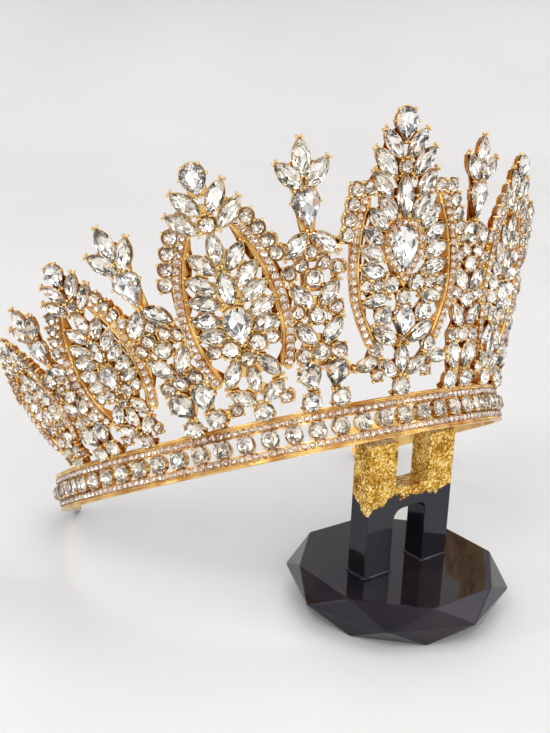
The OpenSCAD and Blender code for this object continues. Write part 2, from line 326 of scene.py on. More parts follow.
def closed_skin(outline: Outline, rings: Iterable[Ring]) -> bmesh.types.BMesh:
    """Wraps rings of corners in a closed skin.

    Args:
        outline: The plan that the rings follow.
        rings: Rows of share, level, number of corners and first angle.

    Returns:
        The skin, with level faces joined.
    """
    bm = bmesh.new()
    for share, level, corners, first in rings:
        for vert in bmesh.ops.create_circle(bm, segments=corners, radius=1.0)["verts"]:
            angle = math.atan2(vert.co.y, vert.co.x) + first
            vert.co = outline.point(angle, share) + Vector((0, 0, level))
    bmesh.ops.remove_doubles(bm, verts=bm.verts, dist=1e-4)
    bmesh.ops.convex_hull(bm, input=bm.verts)
    bmesh.ops.delete(bm, geom=[e for e in bm.edges if not e.link_faces], context="EDGES")
    bmesh.ops.delete(bm, geom=[v for v in bm.verts if not v.link_faces], context="VERTS")
    level_angle = math.radians(0.8)
    bmesh.ops.dissolve_limit(bm, angle_limit=level_angle, verts=bm.verts, edges=bm.edges)
    bmesh.ops.recalc_face_normals(bm, faces=bm.faces)
    return bm


def stored(name: str, bm: bmesh.types.BMesh) -> bpy.types.Mesh:
    """Keeps a small shape as a mesh to stamp, with its faces turned outward.

    Args:
        name: What the shape is.
        bm: The shape, which is freed.

    Returns:
        Its mesh.
    """
    bmesh.ops.recalc_face_normals(bm, faces=bm.faces)
    mesh = bpy.data.meshes.new("shape_" + name)
    bm.to_mesh(mesh)
    bm.free()
    return mesh


@cache
def cut_gem(outline: Outline, style: CutStyle) -> bpy.types.Mesh:
    """Cuts a stone: clear facets above the girdle, foiled ones below.

    Args:
        outline: The plan of the stone.
        style: Its proportions.

    Returns:
        A mesh whose faces below the girdle use the second material.
    """
    bm = closed_skin(outline, style.rings(outline))
    for face in bm.faces:
        face.material_index = int(face.calc_center_median().z < -0.01)
    return stored("gem", bm)


@cache
def cup_boss(outline: Outline, depth: float) -> bpy.types.Mesh:
    """Makes the rounded back of a cup, which hangs down from height zero.

    Args:
        outline: Its plan.
        depth: How far it stands out.

    Returns:
        Its mesh.
    """
    profile = ((1.0, 0.0), (0.95, -0.55 * depth), (0.76, -depth))
    bm = closed_skin(outline, [(share, level, 14, 0.0) for share, level in profile])
    for face in bm.faces:
        face.smooth = face.normal.z > -0.95
    return stored("boss", bm)


@cache
def claw_ball(radius: float, height: float) -> bpy.types.Mesh:
    """Makes a claw: a small upright ball whose foot is at height zero.

    Args:
        radius: Radius of the ball.
        height: Height of the claw.

    Returns:
        Its mesh.
    """
    bm = bmesh.new()
    ball = bmesh.ops.create_uvsphere(bm, u_segments=7, v_segments=5, radius=radius)
    upper = [v for v in ball["verts"] if v.co.z > 0]
    bmesh.ops.translate(bm, verts=upper, vec=(0, 0, max(height - 2 * radius, 0.0)))
    bmesh.ops.translate(bm, verts=bm.verts, vec=(0, 0, radius))
    for face in bm.faces:
        face.smooth = True
    return stored("claw", bm)


@cache
def collet_ring(inner: float, wall: float, height: float) -> bpy.types.Mesh:
    """Makes a collet: the thin ring of metal that a pave stone sits in.

    Args:
        inner: Radius of its hole.
        wall: Thickness of the ring.
        height: Height of the ring above the metal that it is sunk in.

    Returns:
        Its mesh, with a dish for the stone.
    """
    foot, dish_level = -0.15, -0.08
    bm = bmesh.new()
    bmesh.ops.create_circle(
        bm, segments=10, radius=inner + wall, cap_ends=True, matrix=shift(0, 0, foot)
    )
    top = bmesh.ops.extrude_face_region(bm, geom=bm.faces[:])["geom"]
    raised = only(bmesh.types.BMVert, top)
    bmesh.ops.translate(bm, verts=raised, vec=(0, 0, height - foot))
    cap = only(bmesh.types.BMFace, top)
    bmesh.ops.inset_region(bm, faces=cap, thickness=wall, depth=0.0)
    dish = bmesh.ops.extrude_face_region(bm, geom=cap)["geom"]
    bmesh.ops.delete(bm, geom=cap, context="FACES_ONLY")
    sunk = only(bmesh.types.BMVert, dish)
    bmesh.ops.translate(bm, verts=sunk, vec=(0, 0, dish_level - height))
    return stored("collet", bm)


def make_piece(
    name: str,
    bm: bmesh.types.BMesh,
    finishes: Iterable[bpy.types.Material],
    replaced: Sequence[str] = (),
) -> bpy.types.Object:
    """Turns a finished shape into a visible piece on the root body.

    Args:
        name: Name of the piece.
        bm: Its shape in metres, which is freed.
        finishes: Its materials, in the order of the faces' numbers.
        replaced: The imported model's nodes that it stands for.

    Returns:
        The piece.
    """
    mesh = bpy.data.meshes.new(name)
    bm.to_mesh(mesh)
    bm.free()
    for finish in finishes:
        mesh.materials.append(finish)
    piece = bpy.data.objects.new(name, mesh)
    bpy.context.scene.collection.objects.link(piece)
    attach(piece, "root")
    if replaced:
        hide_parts(*replaced)
    LOG.info("%s: %d faces", name, len(mesh.polygons))
    return piece


class Piece:
    """A visible piece of the crown: one mesh gathered from many small ones."""

    WIRE_SIDES = 8

    def __init__(self, name: str, posed: Matrix) -> None:
        """Starts an empty piece.

        Args:
            name: Name of the piece.
            posed: Matrix from the piece's own millimetres to the frame's.
        """
        self.name = name
        self.posed = posed
        self.bm = bmesh.new()

    def stamp(self, shape: bpy.types.Mesh, place: Matrix) -> None:
        """Adds a copy of a shape at a place.

        Args:
            shape: The mesh to copy.
            place: Where the copy goes, in the piece's millimetres.
        """
        copy = shape.copy()
        copy.transform(place)
        self.bm.from_mesh(copy)
        bpy.data.meshes.remove(copy)

    def tube(self, path: Sequence[Vector], radius: float) -> None:
        """Draws a round wire along a path.

        Args:
            path: Points of its middle line.
            radius: Radius of the wire.
        """
        heads = [(b - a).normalized() for a, b in zip(path, path[1:])]
        heads.append(heads[-1])
        look = heads[0].to_track_quat("Z", "Y").to_matrix().to_4x4()
        place = Matrix.Translation(path[0]) @ look
        start = bmesh.ops.create_circle(
            self.bm, segments=self.WIRE_SIDES, radius=radius, matrix=place
        )
        first = edges = list(dict.fromkeys(e for v in start["verts"] for e in v.link_edges))
        for before, point, was, head in zip(path, path[1:], heads, heads[1:]):
            grown = bmesh.ops.extrude_edge_only(self.bm, edges=edges)["geom"]
            verts = only(bmesh.types.BMVert, grown)
            edges = only(bmesh.types.BMEdge, grown)
            bend = was.rotation_difference(head).to_matrix().to_4x4()
            move = Matrix.Translation(point) @ bend @ Matrix.Translation(-before)
            bmesh.ops.transform(self.bm, matrix=move, verts=verts)
            for face in {f for v in verts for f in v.link_faces}:
                face.smooth = True
        bmesh.ops.holes_fill(self.bm, edges=first + edges, sides=self.WIRE_SIDES)

    def finish(
        self, slot: Slot, finishes: Iterable[bpy.types.Material], replaced: Sequence[str] = ()
    ) -> bpy.types.Object:
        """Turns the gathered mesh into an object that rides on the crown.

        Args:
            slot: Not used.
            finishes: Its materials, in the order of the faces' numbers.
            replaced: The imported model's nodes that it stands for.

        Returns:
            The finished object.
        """
        self.bm.transform(TO_METRES @ self.posed)
        return make_piece(self.name, self.bm, finishes, replaced)


class NodeSheet:
    """A node tree with short ways to add and join nodes."""

    def __init__(self, tree: bpy.types.NodeTree) -> None:
        """Takes the tree to write in."""
        self.tree = tree

    def add(self, kind: str, **inputs: object) -> bpy.types.Node:
        """Adds a node and sets its properties and inputs.

        Args:
            kind: The node's class name.
            **inputs: Properties by name, or input sockets by name with
                underscores for spaces. A socket as a value is linked.

        Returns:
            The new node.
        """
        node = self.tree.nodes.new(kind)
        for name, value in inputs.items():
            if isinstance(value, bpy.types.NodeSocket):
                self.tree.links.new(value, self.socket(node, name))
            elif hasattr(node, name):
                setattr(node, name, value)
            else:
                self.socket(node, name).default_value = value
        return node

    @staticmethod
    def socket(node: bpy.types.Node, name: str) -> bpy.types.NodeSocket:
        """Finds an input by its name, or by its number as in_0.

        Args:
            node: The node.
            name: The name, with underscores for spaces.

        Returns:
            The input.
        """
        if name.startswith("in_"):
            return node.inputs[int(name[3:])]
        plain = name.replace("_", " ")
        return next(s for s in node.inputs if s.name.lower() == plain.lower() and s.enabled)

    def math(self, operation: str, a: object, b: object = 0.0) -> bpy.types.NodeSocket:
        """Returns the result of a sum of two values or sockets."""
        return self.add("ShaderNodeMath", operation=operation, in_0=a, in_1=b).outputs[0]

    def vector(self, operation: str, **inputs: object) -> bpy.types.NodeSocket:
        """Returns the result of a sum of vectors, or the distance between two."""
        node = self.add("ShaderNodeVectorMath", operation=operation, **inputs)
        return node.outputs[1 if operation == "DISTANCE" else 0]

    def spread(self, value: bpy.types.NodeSocket, **ends: float) -> bpy.types.NodeSocket:
        """Returns a value moved from one range, 0 to 1 if unnamed, to another."""
        return self.add("ShaderNodeMapRange", value=value, **ends).outputs[0]

    def blend(
        self, share: bpy.types.NodeSocket, low: object, high: object
    ) -> bpy.types.NodeSocket:
        """Returns the colour between two colours or sockets at a share."""
        node = self.add("ShaderNodeMix", data_type="RGBA", in_0=share, in_6=low, in_7=high)
        return node.outputs[2]

    def spot(self) -> bpy.types.NodeSocket:
        """Returns the place on the piece, in metres."""
        return self.add("ShaderNodeTexCoord").outputs["Object"]

    def grain(self, **sizes: float) -> bpy.types.bpy_prop_collection:
        """Adds the shared grain with its sizes in metres, and returns its masks."""
        return self.add("ShaderNodeGroup", node_tree=surface_grain(), **sizes).outputs

    def ramp(
        self, factor: bpy.types.NodeSocket, stops: Sequence[tuple[float, Tint]]
    ) -> bpy.types.NodeSocket:
        """Adds a colour ramp.

        Args:
            factor: The value that runs along it.
            stops: Rows of position and colour.

        Returns:
            Its colour.
        """
        node = self.add("ShaderNodeValToRGB", fac=factor)
        elements = node.color_ramp.elements
        while len(elements) < len(stops):
            elements.new(0.5)
        for element, (position, colour) in zip(elements, stops):
            element.position = position
            element.color = (*colour, 1.0)
        return node.outputs["Color"]


def surface_grain() -> bpy.types.NodeTree:
    """Builds the shared effect of a slightly uneven cast surface.

    Returns:
        A group whose inputs are the sizes of fine and broad marks in
        metres, and whose outputs are both masks from 0 to 1.
    """
    name = "surface_grain"
    if name in bpy.data.node_groups:
        return bpy.data.node_groups[name]
    group = bpy.data.node_groups.new(name, "ShaderNodeTree")
    for label, value in (("Fine Size", 0.0006), ("Broad Size", 0.01)):
        made = group.interface.new_socket(label, in_out="INPUT", socket_type="NodeSocketFloat")
        made.default_value = value
    for label in ("Fine", "Broad"):
        group.interface.new_socket(label, in_out="OUTPUT", socket_type="NodeSocketFloat")
    sheet = NodeSheet(group)
    inputs = sheet.add("NodeGroupInput")
    outputs = sheet.add("NodeGroupOutput")
    spot = sheet.spot()
    for label, detail in (("Fine", 3.0), ("Broad", 2.0)):
        scale = sheet.math("DIVIDE", 1.0, inputs.outputs[label + " Size"])
        noise = sheet.add("ShaderNodeTexNoise", vector=spot, scale=scale, detail=detail)
        group.links.new(noise.outputs["Fac"], outputs.inputs[label])
    return group


class Finish(ABC):
    """A surface finish that can be made into a material.

    Attributes:
        name: Name of the material.
    """

    name: str

    def material(self) -> bpy.types.Material:
        """Makes the material on its first use.

        Returns:
            The material.
        """
        if self.name in bpy.data.materials:
            return bpy.data.materials[self.name]
        made = bpy.data.materials.new(self.name)
        made.use_nodes = True
        made.node_tree.nodes.clear()
        sheet = NodeSheet(made.node_tree)
        shader = self.shade(sheet)
        sheet.add("ShaderNodeOutputMaterial", surface=shader.outputs["BSDF"])
        return made

    @abstractmethod
    def shade(self, sheet: NodeSheet) -> bpy.types.Node:
        """Writes the finish's nodes.

        Args:
            sheet: The material's sheet.

        Returns:
            The shader.
        """


@dataclass(frozen=True)
class GiltFinish(Finish):
    """Warm gilt casting, a little uneven and deeper in colour in patches, with painted shade on
    the walls when an attribute is given.

    Attributes:
        name: Name of the material.
        light: Colour where the plating is bright.
        deep: Colour where it is deeper, and of the painted shade on walls.
        roughness: Middling roughness.
        relief: Height of the fine unevenness, in metres.
        painted_shade_attribute: Attribute of painted shade, high on rims and low on walls, if
            any.
    """

    name: str = "gilt_cast"
    light: Tint = (0.9, 0.61, 0.22)
    deep: Tint = (0.42, 0.15, 0.02)
    roughness: float = 0.2
    relief: float = 0.00006
    painted_shade_attribute: str = ""

    def shade(self, sheet: NodeSheet) -> bpy.types.Node:
        """Writes the finish's nodes.

        Args:
            sheet: The material's sheet.

        Returns:
            The shader.
        """
        grain = sheet.grain(fine_size=0.0007, broad_size=0.006)
        share, fine = grain["Broad"], grain["Fine"]
        # Painted shade: the attribute pulls the walls towards the deep colour and the rims
        # towards the light one.
        if self.painted_shade_attribute:
            rim = sheet.add("ShaderNodeAttribute", attribute_name=self.painted_shade_attribute)
            raised = sheet.math("MULTIPLY", rim.outputs["Fac"], 0.4)
            share = sheet.math("ADD", sheet.math("MULTIPLY", share, 0.5), raised)
        low, high = self.roughness - 0.08, self.roughness + 0.12
        bump = sheet.add("ShaderNodeBump", strength=0.5, distance=self.relief, height=fine)
        return sheet.add(
            "ShaderNodeBsdfPrincipled",
            base_color=sheet.ramp(share, ((0.3, self.deep), (0.65, self.light))),
            metallic=1.0,
            roughness=sheet.spread(fine, to_min=low, to_max=high),
            normal=bump.outputs[0],
        )


@dataclass(frozen=True)
class CrystalFinish(Finish):
    """Clear cut crystal, as the facets above a stone's girdle.

    Attributes:
        name: Name of the material.
        clear: Colour of the clearest places.
        warm: Colour of the others.
        ior: Its index of refraction.
    """

    name: str = "clear_crystal"
    clear: Tint = (1.0, 1.0, 1.0)
    warm: Tint = (0.97, 0.95, 0.93)
    ior: float = 1.56

    def shade(self, sheet: NodeSheet) -> bpy.types.Node:
        """Writes the finish's nodes.

        Args:
            sheet: The material's sheet.

        Returns:
            The shader.
        """
        broad = sheet.grain(broad_size=0.004)["Broad"]
        return sheet.add(
            "ShaderNodeBsdfPrincipled",
            base_color=sheet.ramp(broad, ((0.3, self.warm), (0.7, self.clear))),
            roughness=0.015,
            ior=self.ior,
            transmission_weight=1.0,
        )


@dataclass(frozen=True)
class FoilFinish(Finish):
    """The foiled back of a stone, whose facets differ in brightness: darker facets are painted
    reflections of dark surroundings.

    Attributes:
        name: Name of the material.
        attribute: Attribute that holds each facet's colour of foil and painted reflection.
    """

    name: str = "stone_foil"
    attribute: str = "foil_tint"

    def shade(self, sheet: NodeSheet) -> bpy.types.Node:
        """Writes the finish's nodes.

        Args:
            sheet: The material's sheet.

        Returns:
            The shader.
        """
        tint = sheet.add("ShaderNodeAttribute", attribute_name=self.attribute)
        return sheet.add(
            "ShaderNodeBsdfPrincipled",
            base_color=tint.outputs["Color"],
            metallic=1.0,
            roughness=0.05,
        )


@dataclass(frozen=True)
class BlackResinFinish(Finish):
    """Glossy black cast resin with a faint warm cloud in it.

    Attributes:
        name: Name of the material.
        dark: Its colour.
        cloud: Colour of the cloud.
    """

    name: str = "black_cast_resin"
    dark: Tint = (0.006, 0.005, 0.009)
    cloud: Tint = (0.024, 0.016, 0.014)

    def shade(self, sheet: NodeSheet) -> bpy.types.Node:
        """Writes the finish's nodes.

        Args:
            sheet: The material's sheet.

        Returns:
            The shader.
        """
        broad = sheet.grain(broad_size=0.02)["Broad"]
        bump = sheet.add("ShaderNodeBump", strength=0.25, distance=0.00004, height=broad)
        return sheet.add(
            "ShaderNodeBsdfPrincipled",
            base_color=sheet.ramp(broad, ((0.35, self.dark), (0.75, self.cloud))),
            roughness=0.05,
            ior=1.42,
            specular_tint=(0.8, 0.77, 1.0, 1.0),
            normal=bump.outputs[0],
        )


@dataclass(frozen=True)
class AmberResinFinish(Finish):
    """Cast resin that is black below and full of gold flakes above.

    Attributes:
        border: Height of the ragged border above the table, in metres.
        tongue: Where, in metres along X and Y, the flakes hang lowest.
        name: Name of the material.
        ragged: How far the border wanders up and down, in metres.
        dip: How far the flakes hang down at the tongue, in metres.
        reach: How far from there the border dips, in metres.
        flake: Size of a flake, in metres.
        slope: How much the border rises per metre along X.
        cloudy: How much brighter or darker the clouds of flakes are.
        lean: How far a flake leans out of the surface.
        shine: How metallic the flakes are.
    """

    border: float
    tongue: tuple[float, float]
    name: str = "amber_flake_resin"
    ragged: float = 0.0035
    dip: float = 0.0042
    reach: float = 0.0075
    flake: float = 0.0005
    slope: float = -0.05
    cloudy: float = 1.3
    lean: float = 0.5
    shine: float = 0.6

    def noise(self, sheet: NodeSheet, scale: float, detail: float) -> bpy.types.NodeSocket:
        """Returns noise about zero with a scale per metre."""
        noise = sheet.add("ShaderNodeTexNoise", vector=sheet.spot(), scale=scale, detail=detail)
        return sheet.math("SUBTRACT", noise.outputs["Fac"], 0.5)

    def above(self, sheet: NodeSheet, place: bpy.types.NodeSocket) -> bpy.types.NodeSocket:
        """Masks what lies above the ragged border.

        Args:
            sheet: The sheet to write in.
            place: The place of each flake, in metres.

        Returns:
            A mask that is 1 above the border.
        """
        cell = sheet.add("ShaderNodeSeparateXYZ", vector=place).outputs
        metres = sheet.math("SUBTRACT", cell["Z"], sheet.math("MULTIPLY", cell["X"], self.slope))
        flat = sheet.vector("MULTIPLY", in_0=place, in_1=(1, 1, 0))
        away = sheet.vector("DISTANCE", in_0=flat, in_1=(*self.tongue, 0))
        hang = sheet.spread(away, from_max=self.reach, to_min=self.dip, to_max=0.0)
        wander = sheet.math("MULTIPLY", self.noise(sheet, 260.0, 4.0), self.ragged * 2)
        height = sheet.math("ADD", sheet.math("ADD", metres, hang), wander)
        return sheet.math("GREATER_THAN", sheet.math("SUBTRACT", height, self.border), 0.0)

    def shade(self, sheet: NodeSheet) -> bpy.types.Node:
        """Writes the finish's nodes.

        Args:
            sheet: The material's sheet.

        Returns:
            The shader.
        """
        cells = sheet.add("ShaderNodeTexVoronoi", vector=sheet.spot(), scale=1.0 / self.flake)
        mask = self.above(sheet, cells.outputs["Position"])
        pick = sheet.add("ShaderNodeSeparateColor", color=cells.outputs["Color"]).outputs[0]
        cloud = sheet.math("MULTIPLY", self.noise(sheet, 190.0, 2.0), self.cloudy)
        pick = sheet.math("ADD", pick, cloud)
        flakes = sheet.ramp(
            pick,
            (
                (0.0, (0.22, 0.08, 0.0)),
                (0.3, (0.5, 0.23, 0.01)),
                (0.65, (0.72, 0.42, 0.03)),
                (0.92, (1.0, 0.8, 0.34)),
            ),
        )
        rough = sheet.spread(sheet.math("MULTIPLY", mask, pick), to_min=0.08, to_max=0.5)
        tilt = sheet.vector("SUBTRACT", in_0=cells.outputs["Color"], in_1=(0.5, 0.5, 0.5))
        strength = sheet.math("MULTIPLY", mask, self.lean)
        tilt = sheet.vector("SCALE", in_0=tilt, scale=strength)
        upright = sheet.add("ShaderNodeNewGeometry").outputs["Normal"]
        leaning = sheet.vector("ADD", in_0=tilt, in_1=upright)
        return sheet.add(
            "ShaderNodeBsdfPrincipled",
            base_color=sheet.blend(mask, (0.008, 0.008, 0.01, 1), flakes),
            metallic=sheet.math("MULTIPLY", mask, self.shine),
            roughness=rough,
            ior=1.42,
            specular_tint=(0.85, 0.82, 1.0, 1.0),
            normal=sheet.vector("NORMALIZE", in_0=leaning),
        )


@dataclass(frozen=True)
class TableFinish(Finish):
    """Pale polished table with hardly visible clouds, and painted shade that makes it dimmer
    where it is swept up.

    Attributes:
        name: Name of the material.
        pale: The two colours of the level part.
        dim: The two colours of the upper part, darkened as painted shade.
        rise: Heights between which the painted shade comes in, in metres.
    """

    name: str = "pale_table"
    pale: tuple[Tint, Tint] = ((0.86, 0.855, 0.85), (0.9, 0.895, 0.895))
    dim: tuple[Tint, Tint] = ((0.56, 0.55, 0.545), (0.6, 0.59, 0.585))
    rise: tuple[float, float] = (0.02, 0.4)

    def shade(self, sheet: NodeSheet) -> bpy.types.Node:
        """Writes the finish's nodes.

        Args:
            sheet: The material's sheet.

        Returns:
            The shader.
        """
        broad = sheet.grain(broad_size=0.3)["Broad"]
        pale, dim = (sheet.ramp(broad, tuple(zip((0.3, 0.7), c))) for c in (self.pale, self.dim))
        # Painted shade: the swept-up backdrop is painted dimmer with height.
        height = sheet.add("ShaderNodeSeparateXYZ", vector=sheet.spot()).outputs["Z"]
        share = sheet.spread(height, from_min=self.rise[0], from_max=self.rise[1])
        return sheet.add(
            "ShaderNodeBsdfPrincipled", base_color=sheet.blend(share, pale, dim), roughness=0.28
        )


# The stones of each kind of setting, for its middle line and its right half. A row holds the cut,
# the places across and up, the width, the length, the turn and the tier.
CENTRE_ROWS: tuple[Row, ...] = (
    ("P", 0, 77.2, 7.0, 8.4, 0, 1),
    ("M", 4.2, 72.0, 4.0, 8.8, -38, 2),
    ("M", 6.6, 67.0, 4.2, 9.6, -42, 2),
    ("R", 0, 65.6, 3.6, 3.6, 0, 3),
    ("M", 7.6, 61.2, 4.0, 8.6, -40, 2),
    ("M", 0, 57.6, 4.8, 11.4, 0, 2),
    ("M", 5.6, 54.6, 4.0, 8.4, -38, 2),
    ("M", 9.0, 51.6, 3.8, 8.2, -48, 2),
    ("R", 12.4, 60.2, 3.4, 3.4, 0, 3),
    ("P", 0, 42.6, 9.0, 13.0, 0, 1),
    ("M", 10.6, 47.0, 3.8, 8.0, -58, 2),
    ("M", 11.0, 42.2, 3.8, 8.0, -68, 2),
    ("M", 10.6, 37.4, 3.8, 8.0, -74, 2),
    ("R", 4.4, 33.2, 4.4, 4.4, 0, 3),
    ("R", 9.2, 33.0, 3.4, 3.4, 0, 3),
    ("R", 13.2, 33.2, 3.0, 3.0, 0, 3),
    ("M", 9.6, 29.0, 3.4, 7.6, 80, 2),
    ("R", 0, 29.3, 4.0, 4.0, 0, 3),
    ("R", 7.0, 24.6, 4.8, 4.8, 0, 2),
    ("P", 0, 22.6, 6.2, 8.0, 0, 1),
    ("R", 0, 17.2, 2.2, 2.2, 0, 3),
    ("M", 6.2, 18.8, 4.0, 9.0, -60, 2),
    ("R", 9.3, 15.0, 4.2, 4.2, 0, 3),
    ("M", 0, 11.6, 3.8, 8.0, 0, 2),
    ("M", 5.0, 9.2, 3.6, 7.6, -52, 2),
    ("M", 12.3, 11.0, 3.4, 7.2, 78, 2),
    ("R", 8.6, 7.4, 3.0, 3.0, 0, 3),
    ("R", 0, 3.2, 4.8, 4.8, 0, 2),
    ("R", 16.6, 60.0, 3.6, 3.6, 0, 3),
    ("R", 17.8, 56.0, 3.6, 3.6, 0, 3),
    ("R", 18.9, 51.9, 3.6, 3.6, 0, 3),
    ("R", 19.6, 47.8, 3.6, 3.6, 0, 3),
)

ARCH_ROWS: tuple[Row, ...] = (
    ("P", 0, 70.0, 6.2, 8.0, 0, 1),
    ("M", 4.1, 64.4, 4.0, 8.8, -38, 2),
    ("M", 6.5, 59.4, 4.0, 9.0, -46, 2),
    ("R", 0, 57.8, 4.2, 4.2, 0, 3),
    ("M", 0, 51.0, 3.6, 8.0, 0, 2),
    ("M", 4.5, 47.6, 3.7, 8.0, -42, 2),
    ("M", 6.4, 42.2, 3.7, 8.2, -52, 2),
    ("M", 7.0, 37.3, 3.7, 8.2, -66, 2),
    ("M", 7.8, 32.5, 3.7, 7.4, -72, 2),
    ("M", 7.4, 27.9, 3.6, 6.6, -80, 2),
    ("M", 0, 39.9, 4.2, 10.0, 0, 2),
    ("P", 0, 28.8, 7.2, 9.6, 0, 1),
    ("R", 3.9, 23.1, 4.4, 4.4, 0, 3),
    ("R", 8.3, 23.6, 3.4, 3.4, 0, 3),
    ("R", 0, 19.4, 4.0, 4.0, 0, 3),
    ("M", 5.2, 16.0, 3.6, 7.6, 34, 2),
    ("M", 0, 13.2, 3.2, 7.0, 0, 2),
    ("M", 4.4, 8.6, 3.6, 7.4, -54, 2),
    ("R", 7.2, 5.8, 3.0, 3.0, 0, 3),
    ("R", 0, 3.2, 4.8, 4.8, 0, 2),
    ("R", 10.6, 57.2, 3.6, 3.6, 0, 3),
    ("R", 12.6, 53.3, 3.6, 3.6, 0, 3),
    ("R", 14.2, 49.3, 3.6, 3.6, 0, 3),
    ("R", 15.5, 45.3, 3.6, 3.6, 0, 3),
)

FINIAL_ROWS: tuple[Row, ...] = (
    ("M", 0, 70.6, 4.2, 9.2, 0, 2),
    ("M", 4.0, 66.2, 4.2, 8.8, -42, 2),
    ("P", 0, 57.0, 7.2, 10.6, 0, 1),
    ("M", 4.0, 47.4, 4.2, 8.4, 50, 2),
    ("R", 0, 45.2, 3.0, 3.0, 0, 3),
    ("R", 3.2, 42.0, 3.4, 3.4, 0, 3),
    ("R", 6.8, 40.2, 3.4, 3.4, 0, 3),
    ("R", 0, 38.0, 4.6, 4.6, 0, 3),
    ("M", 3.9, 33.4, 3.8, 8.0, -42, 2),
    ("R", 5.6, 29.2, 3.4, 3.4, 0, 3),
    ("R", 0, 27.6, 4.6, 4.6, 0, 3),
    ("M", 3.9, 22.8, 3.8, 8.0, -40, 2),
    ("R", 0, 17.2, 4.4, 4.4, 0, 3),
    ("R", 5.2, 16.8, 3.8, 3.8, 0, 3),
    ("P", 3.9, 10.4, 6.0, 7.6, -18, 2),
    ("R", 4.3, 3.2, 4.8, 4.8, 0, 2),
)

# The middle lines of the right-hand wires, from shoulder to foot.
CENTRE_WIRE = (
    (12.2, 57.5),
    (14.6, 50),
    (15.6, 44),
    (16, 38),
    (15.2, 30),
    (13.2, 24),
    (10.2, 17.6),
)
ARCH_WIRE = ((5.6, 56.5), (9, 50), (11.2, 43), (12.3, 35), (12, 27), (10.6, 20), (8.6, 15))

# The colours that the foiled facets choose from: of main stones, others, small rounds and pave.
# The grey and dark ones are painted reflections of dark surroundings; the others are the foil's
# colour.
MAIN_FOIL_AND_REFLECTION_TINTS: tuple[Tint, ...] = (
    (1.0, 1.0, 1.0),
    (1.0, 1.0, 0.99),
    (0.97, 0.97, 0.96),
    (0.95, 0.95, 0.94),
    (0.93, 0.93, 0.9),
    (0.9, 0.9, 0.88),
    (0.6, 0.61, 0.62),
    (0.24, 0.24, 0.25),
    (0.64, 0.45, 0.35),
)
FOIL_AND_REFLECTION_TINTS: tuple[Tint, ...] = (
    (1.0, 0.98, 0.96),
    (0.96, 0.94, 0.91),
    (0.93, 0.91, 0.86),
    (0.9, 0.86, 0.76),
    (0.88, 0.87, 0.83),
    (0.77, 0.75, 0.67),
    (0.58, 0.55, 0.48),
    (0.19, 0.17, 0.15),
    (0.72, 0.57, 0.43),
)
ROUND_FOIL_AND_REFLECTION_TINTS: tuple[Tint, ...] = (
    (0.92, 0.88, 0.82),
    (0.84, 0.79, 0.7),
    (0.74, 0.67, 0.57),
    (0.56, 0.49, 0.4),
    (0.3, 0.25, 0.2),
)
PAVE_FOIL_AND_REFLECTION_TINTS: tuple[Tint, ...] = (
    (0.9, 0.84, 0.8),
    (0.78, 0.66, 0.58),
    (0.64, 0.5, 0.42),
    (0.42, 0.3, 0.24),
    (0.8, 0.72, 0.66),
)


@dataclass(frozen=True)
class CrownSizes:
    """Driving sizes of the crown, as in the part's source.

    Attributes:
        band_radius: Radius that the band's cups stand on.
        band_height: Height of the band.
        tilt: How far the crown tips back.
        flare: How far the settings lean outward.
        strip_depth: How far the band's two strips stand out.
        strip_height: Height of a strip with its lip.
        lip_height: Height of a plain lip.
        lip_reach: How far a lip stands out from its strip.
        stone_pitch: Distance between two band stones.
        band_stone: Width of a band stone.
        plate_set_off: How far a setting's back is off the band.
        back_depth: Depth of a setting's backing sheet.
        cup_depth: Depth of the cups on it.
        rim: Width of a cup's rim.
        seat_gap: Gap between a stone and its cup.
        wire_width: Width of an arch's wire.
        bead_strip: Width of the flat strip beside it.
        strip_overlap: How far that strip reaches under the wire.
        halo_width: Width of the pave row round a large stone.
        halo_min: Width above which a stone has such a row.
        thin: Share of a setting's depth that the cast metal keeps.
        boss: How far a cup's rounded back stands out.
    """

    band_radius: float = 75.0
    band_height: float = 12.0
    tilt: float = 27.5
    flare: float = 22.8
    strip_depth: float = 1.5
    strip_height: float = 2.7
    lip_height: float = 0.8
    lip_reach: float = 0.7
    stone_pitch: float = 6.685
    band_stone: float = 4.3
    plate_set_off: float = 0.2
    back_depth: float = 0.9
    cup_depth: float = 1.3
    rim: float = 0.5
    seat_gap: float = 0.1
    wire_width: float = 1.1
    bead_strip: float = 2.5
    strip_overlap: float = 0.1
    halo_width: float = 2.1
    halo_min: float = 8.0
    thin: float = 0.72
    boss: float = 0.5

    @property
    def pitch(self) -> float:
        """Angle between two neighbouring band stones."""
        return math.degrees(self.stone_pitch / self.band_radius)

    @property
    def plate_top(self) -> float:
        """Height of the cups' rims above the back of a setting."""
        return self.back_depth + self.cup_depth

    @property
    def back_level(self) -> float:
        """Height of the thinned back above the source's back."""
        return self.plate_top * (1 - self.thin)

    @property
    def strip_radius(self) -> float:
        """Outer radius of the band's two strips."""
        return self.band_radius + self.strip_depth

    @property
    def lip_radius(self) -> float:
        """Outer radius of the band's plain lips."""
        return self.strip_radius + self.lip_reach

    @property
    def strip_reach(self) -> float:
        """Distance from the middle of an arch's wire to the middle of its strip."""
        return (self.wire_width + self.bead_strip) / 2 - self.strip_overlap


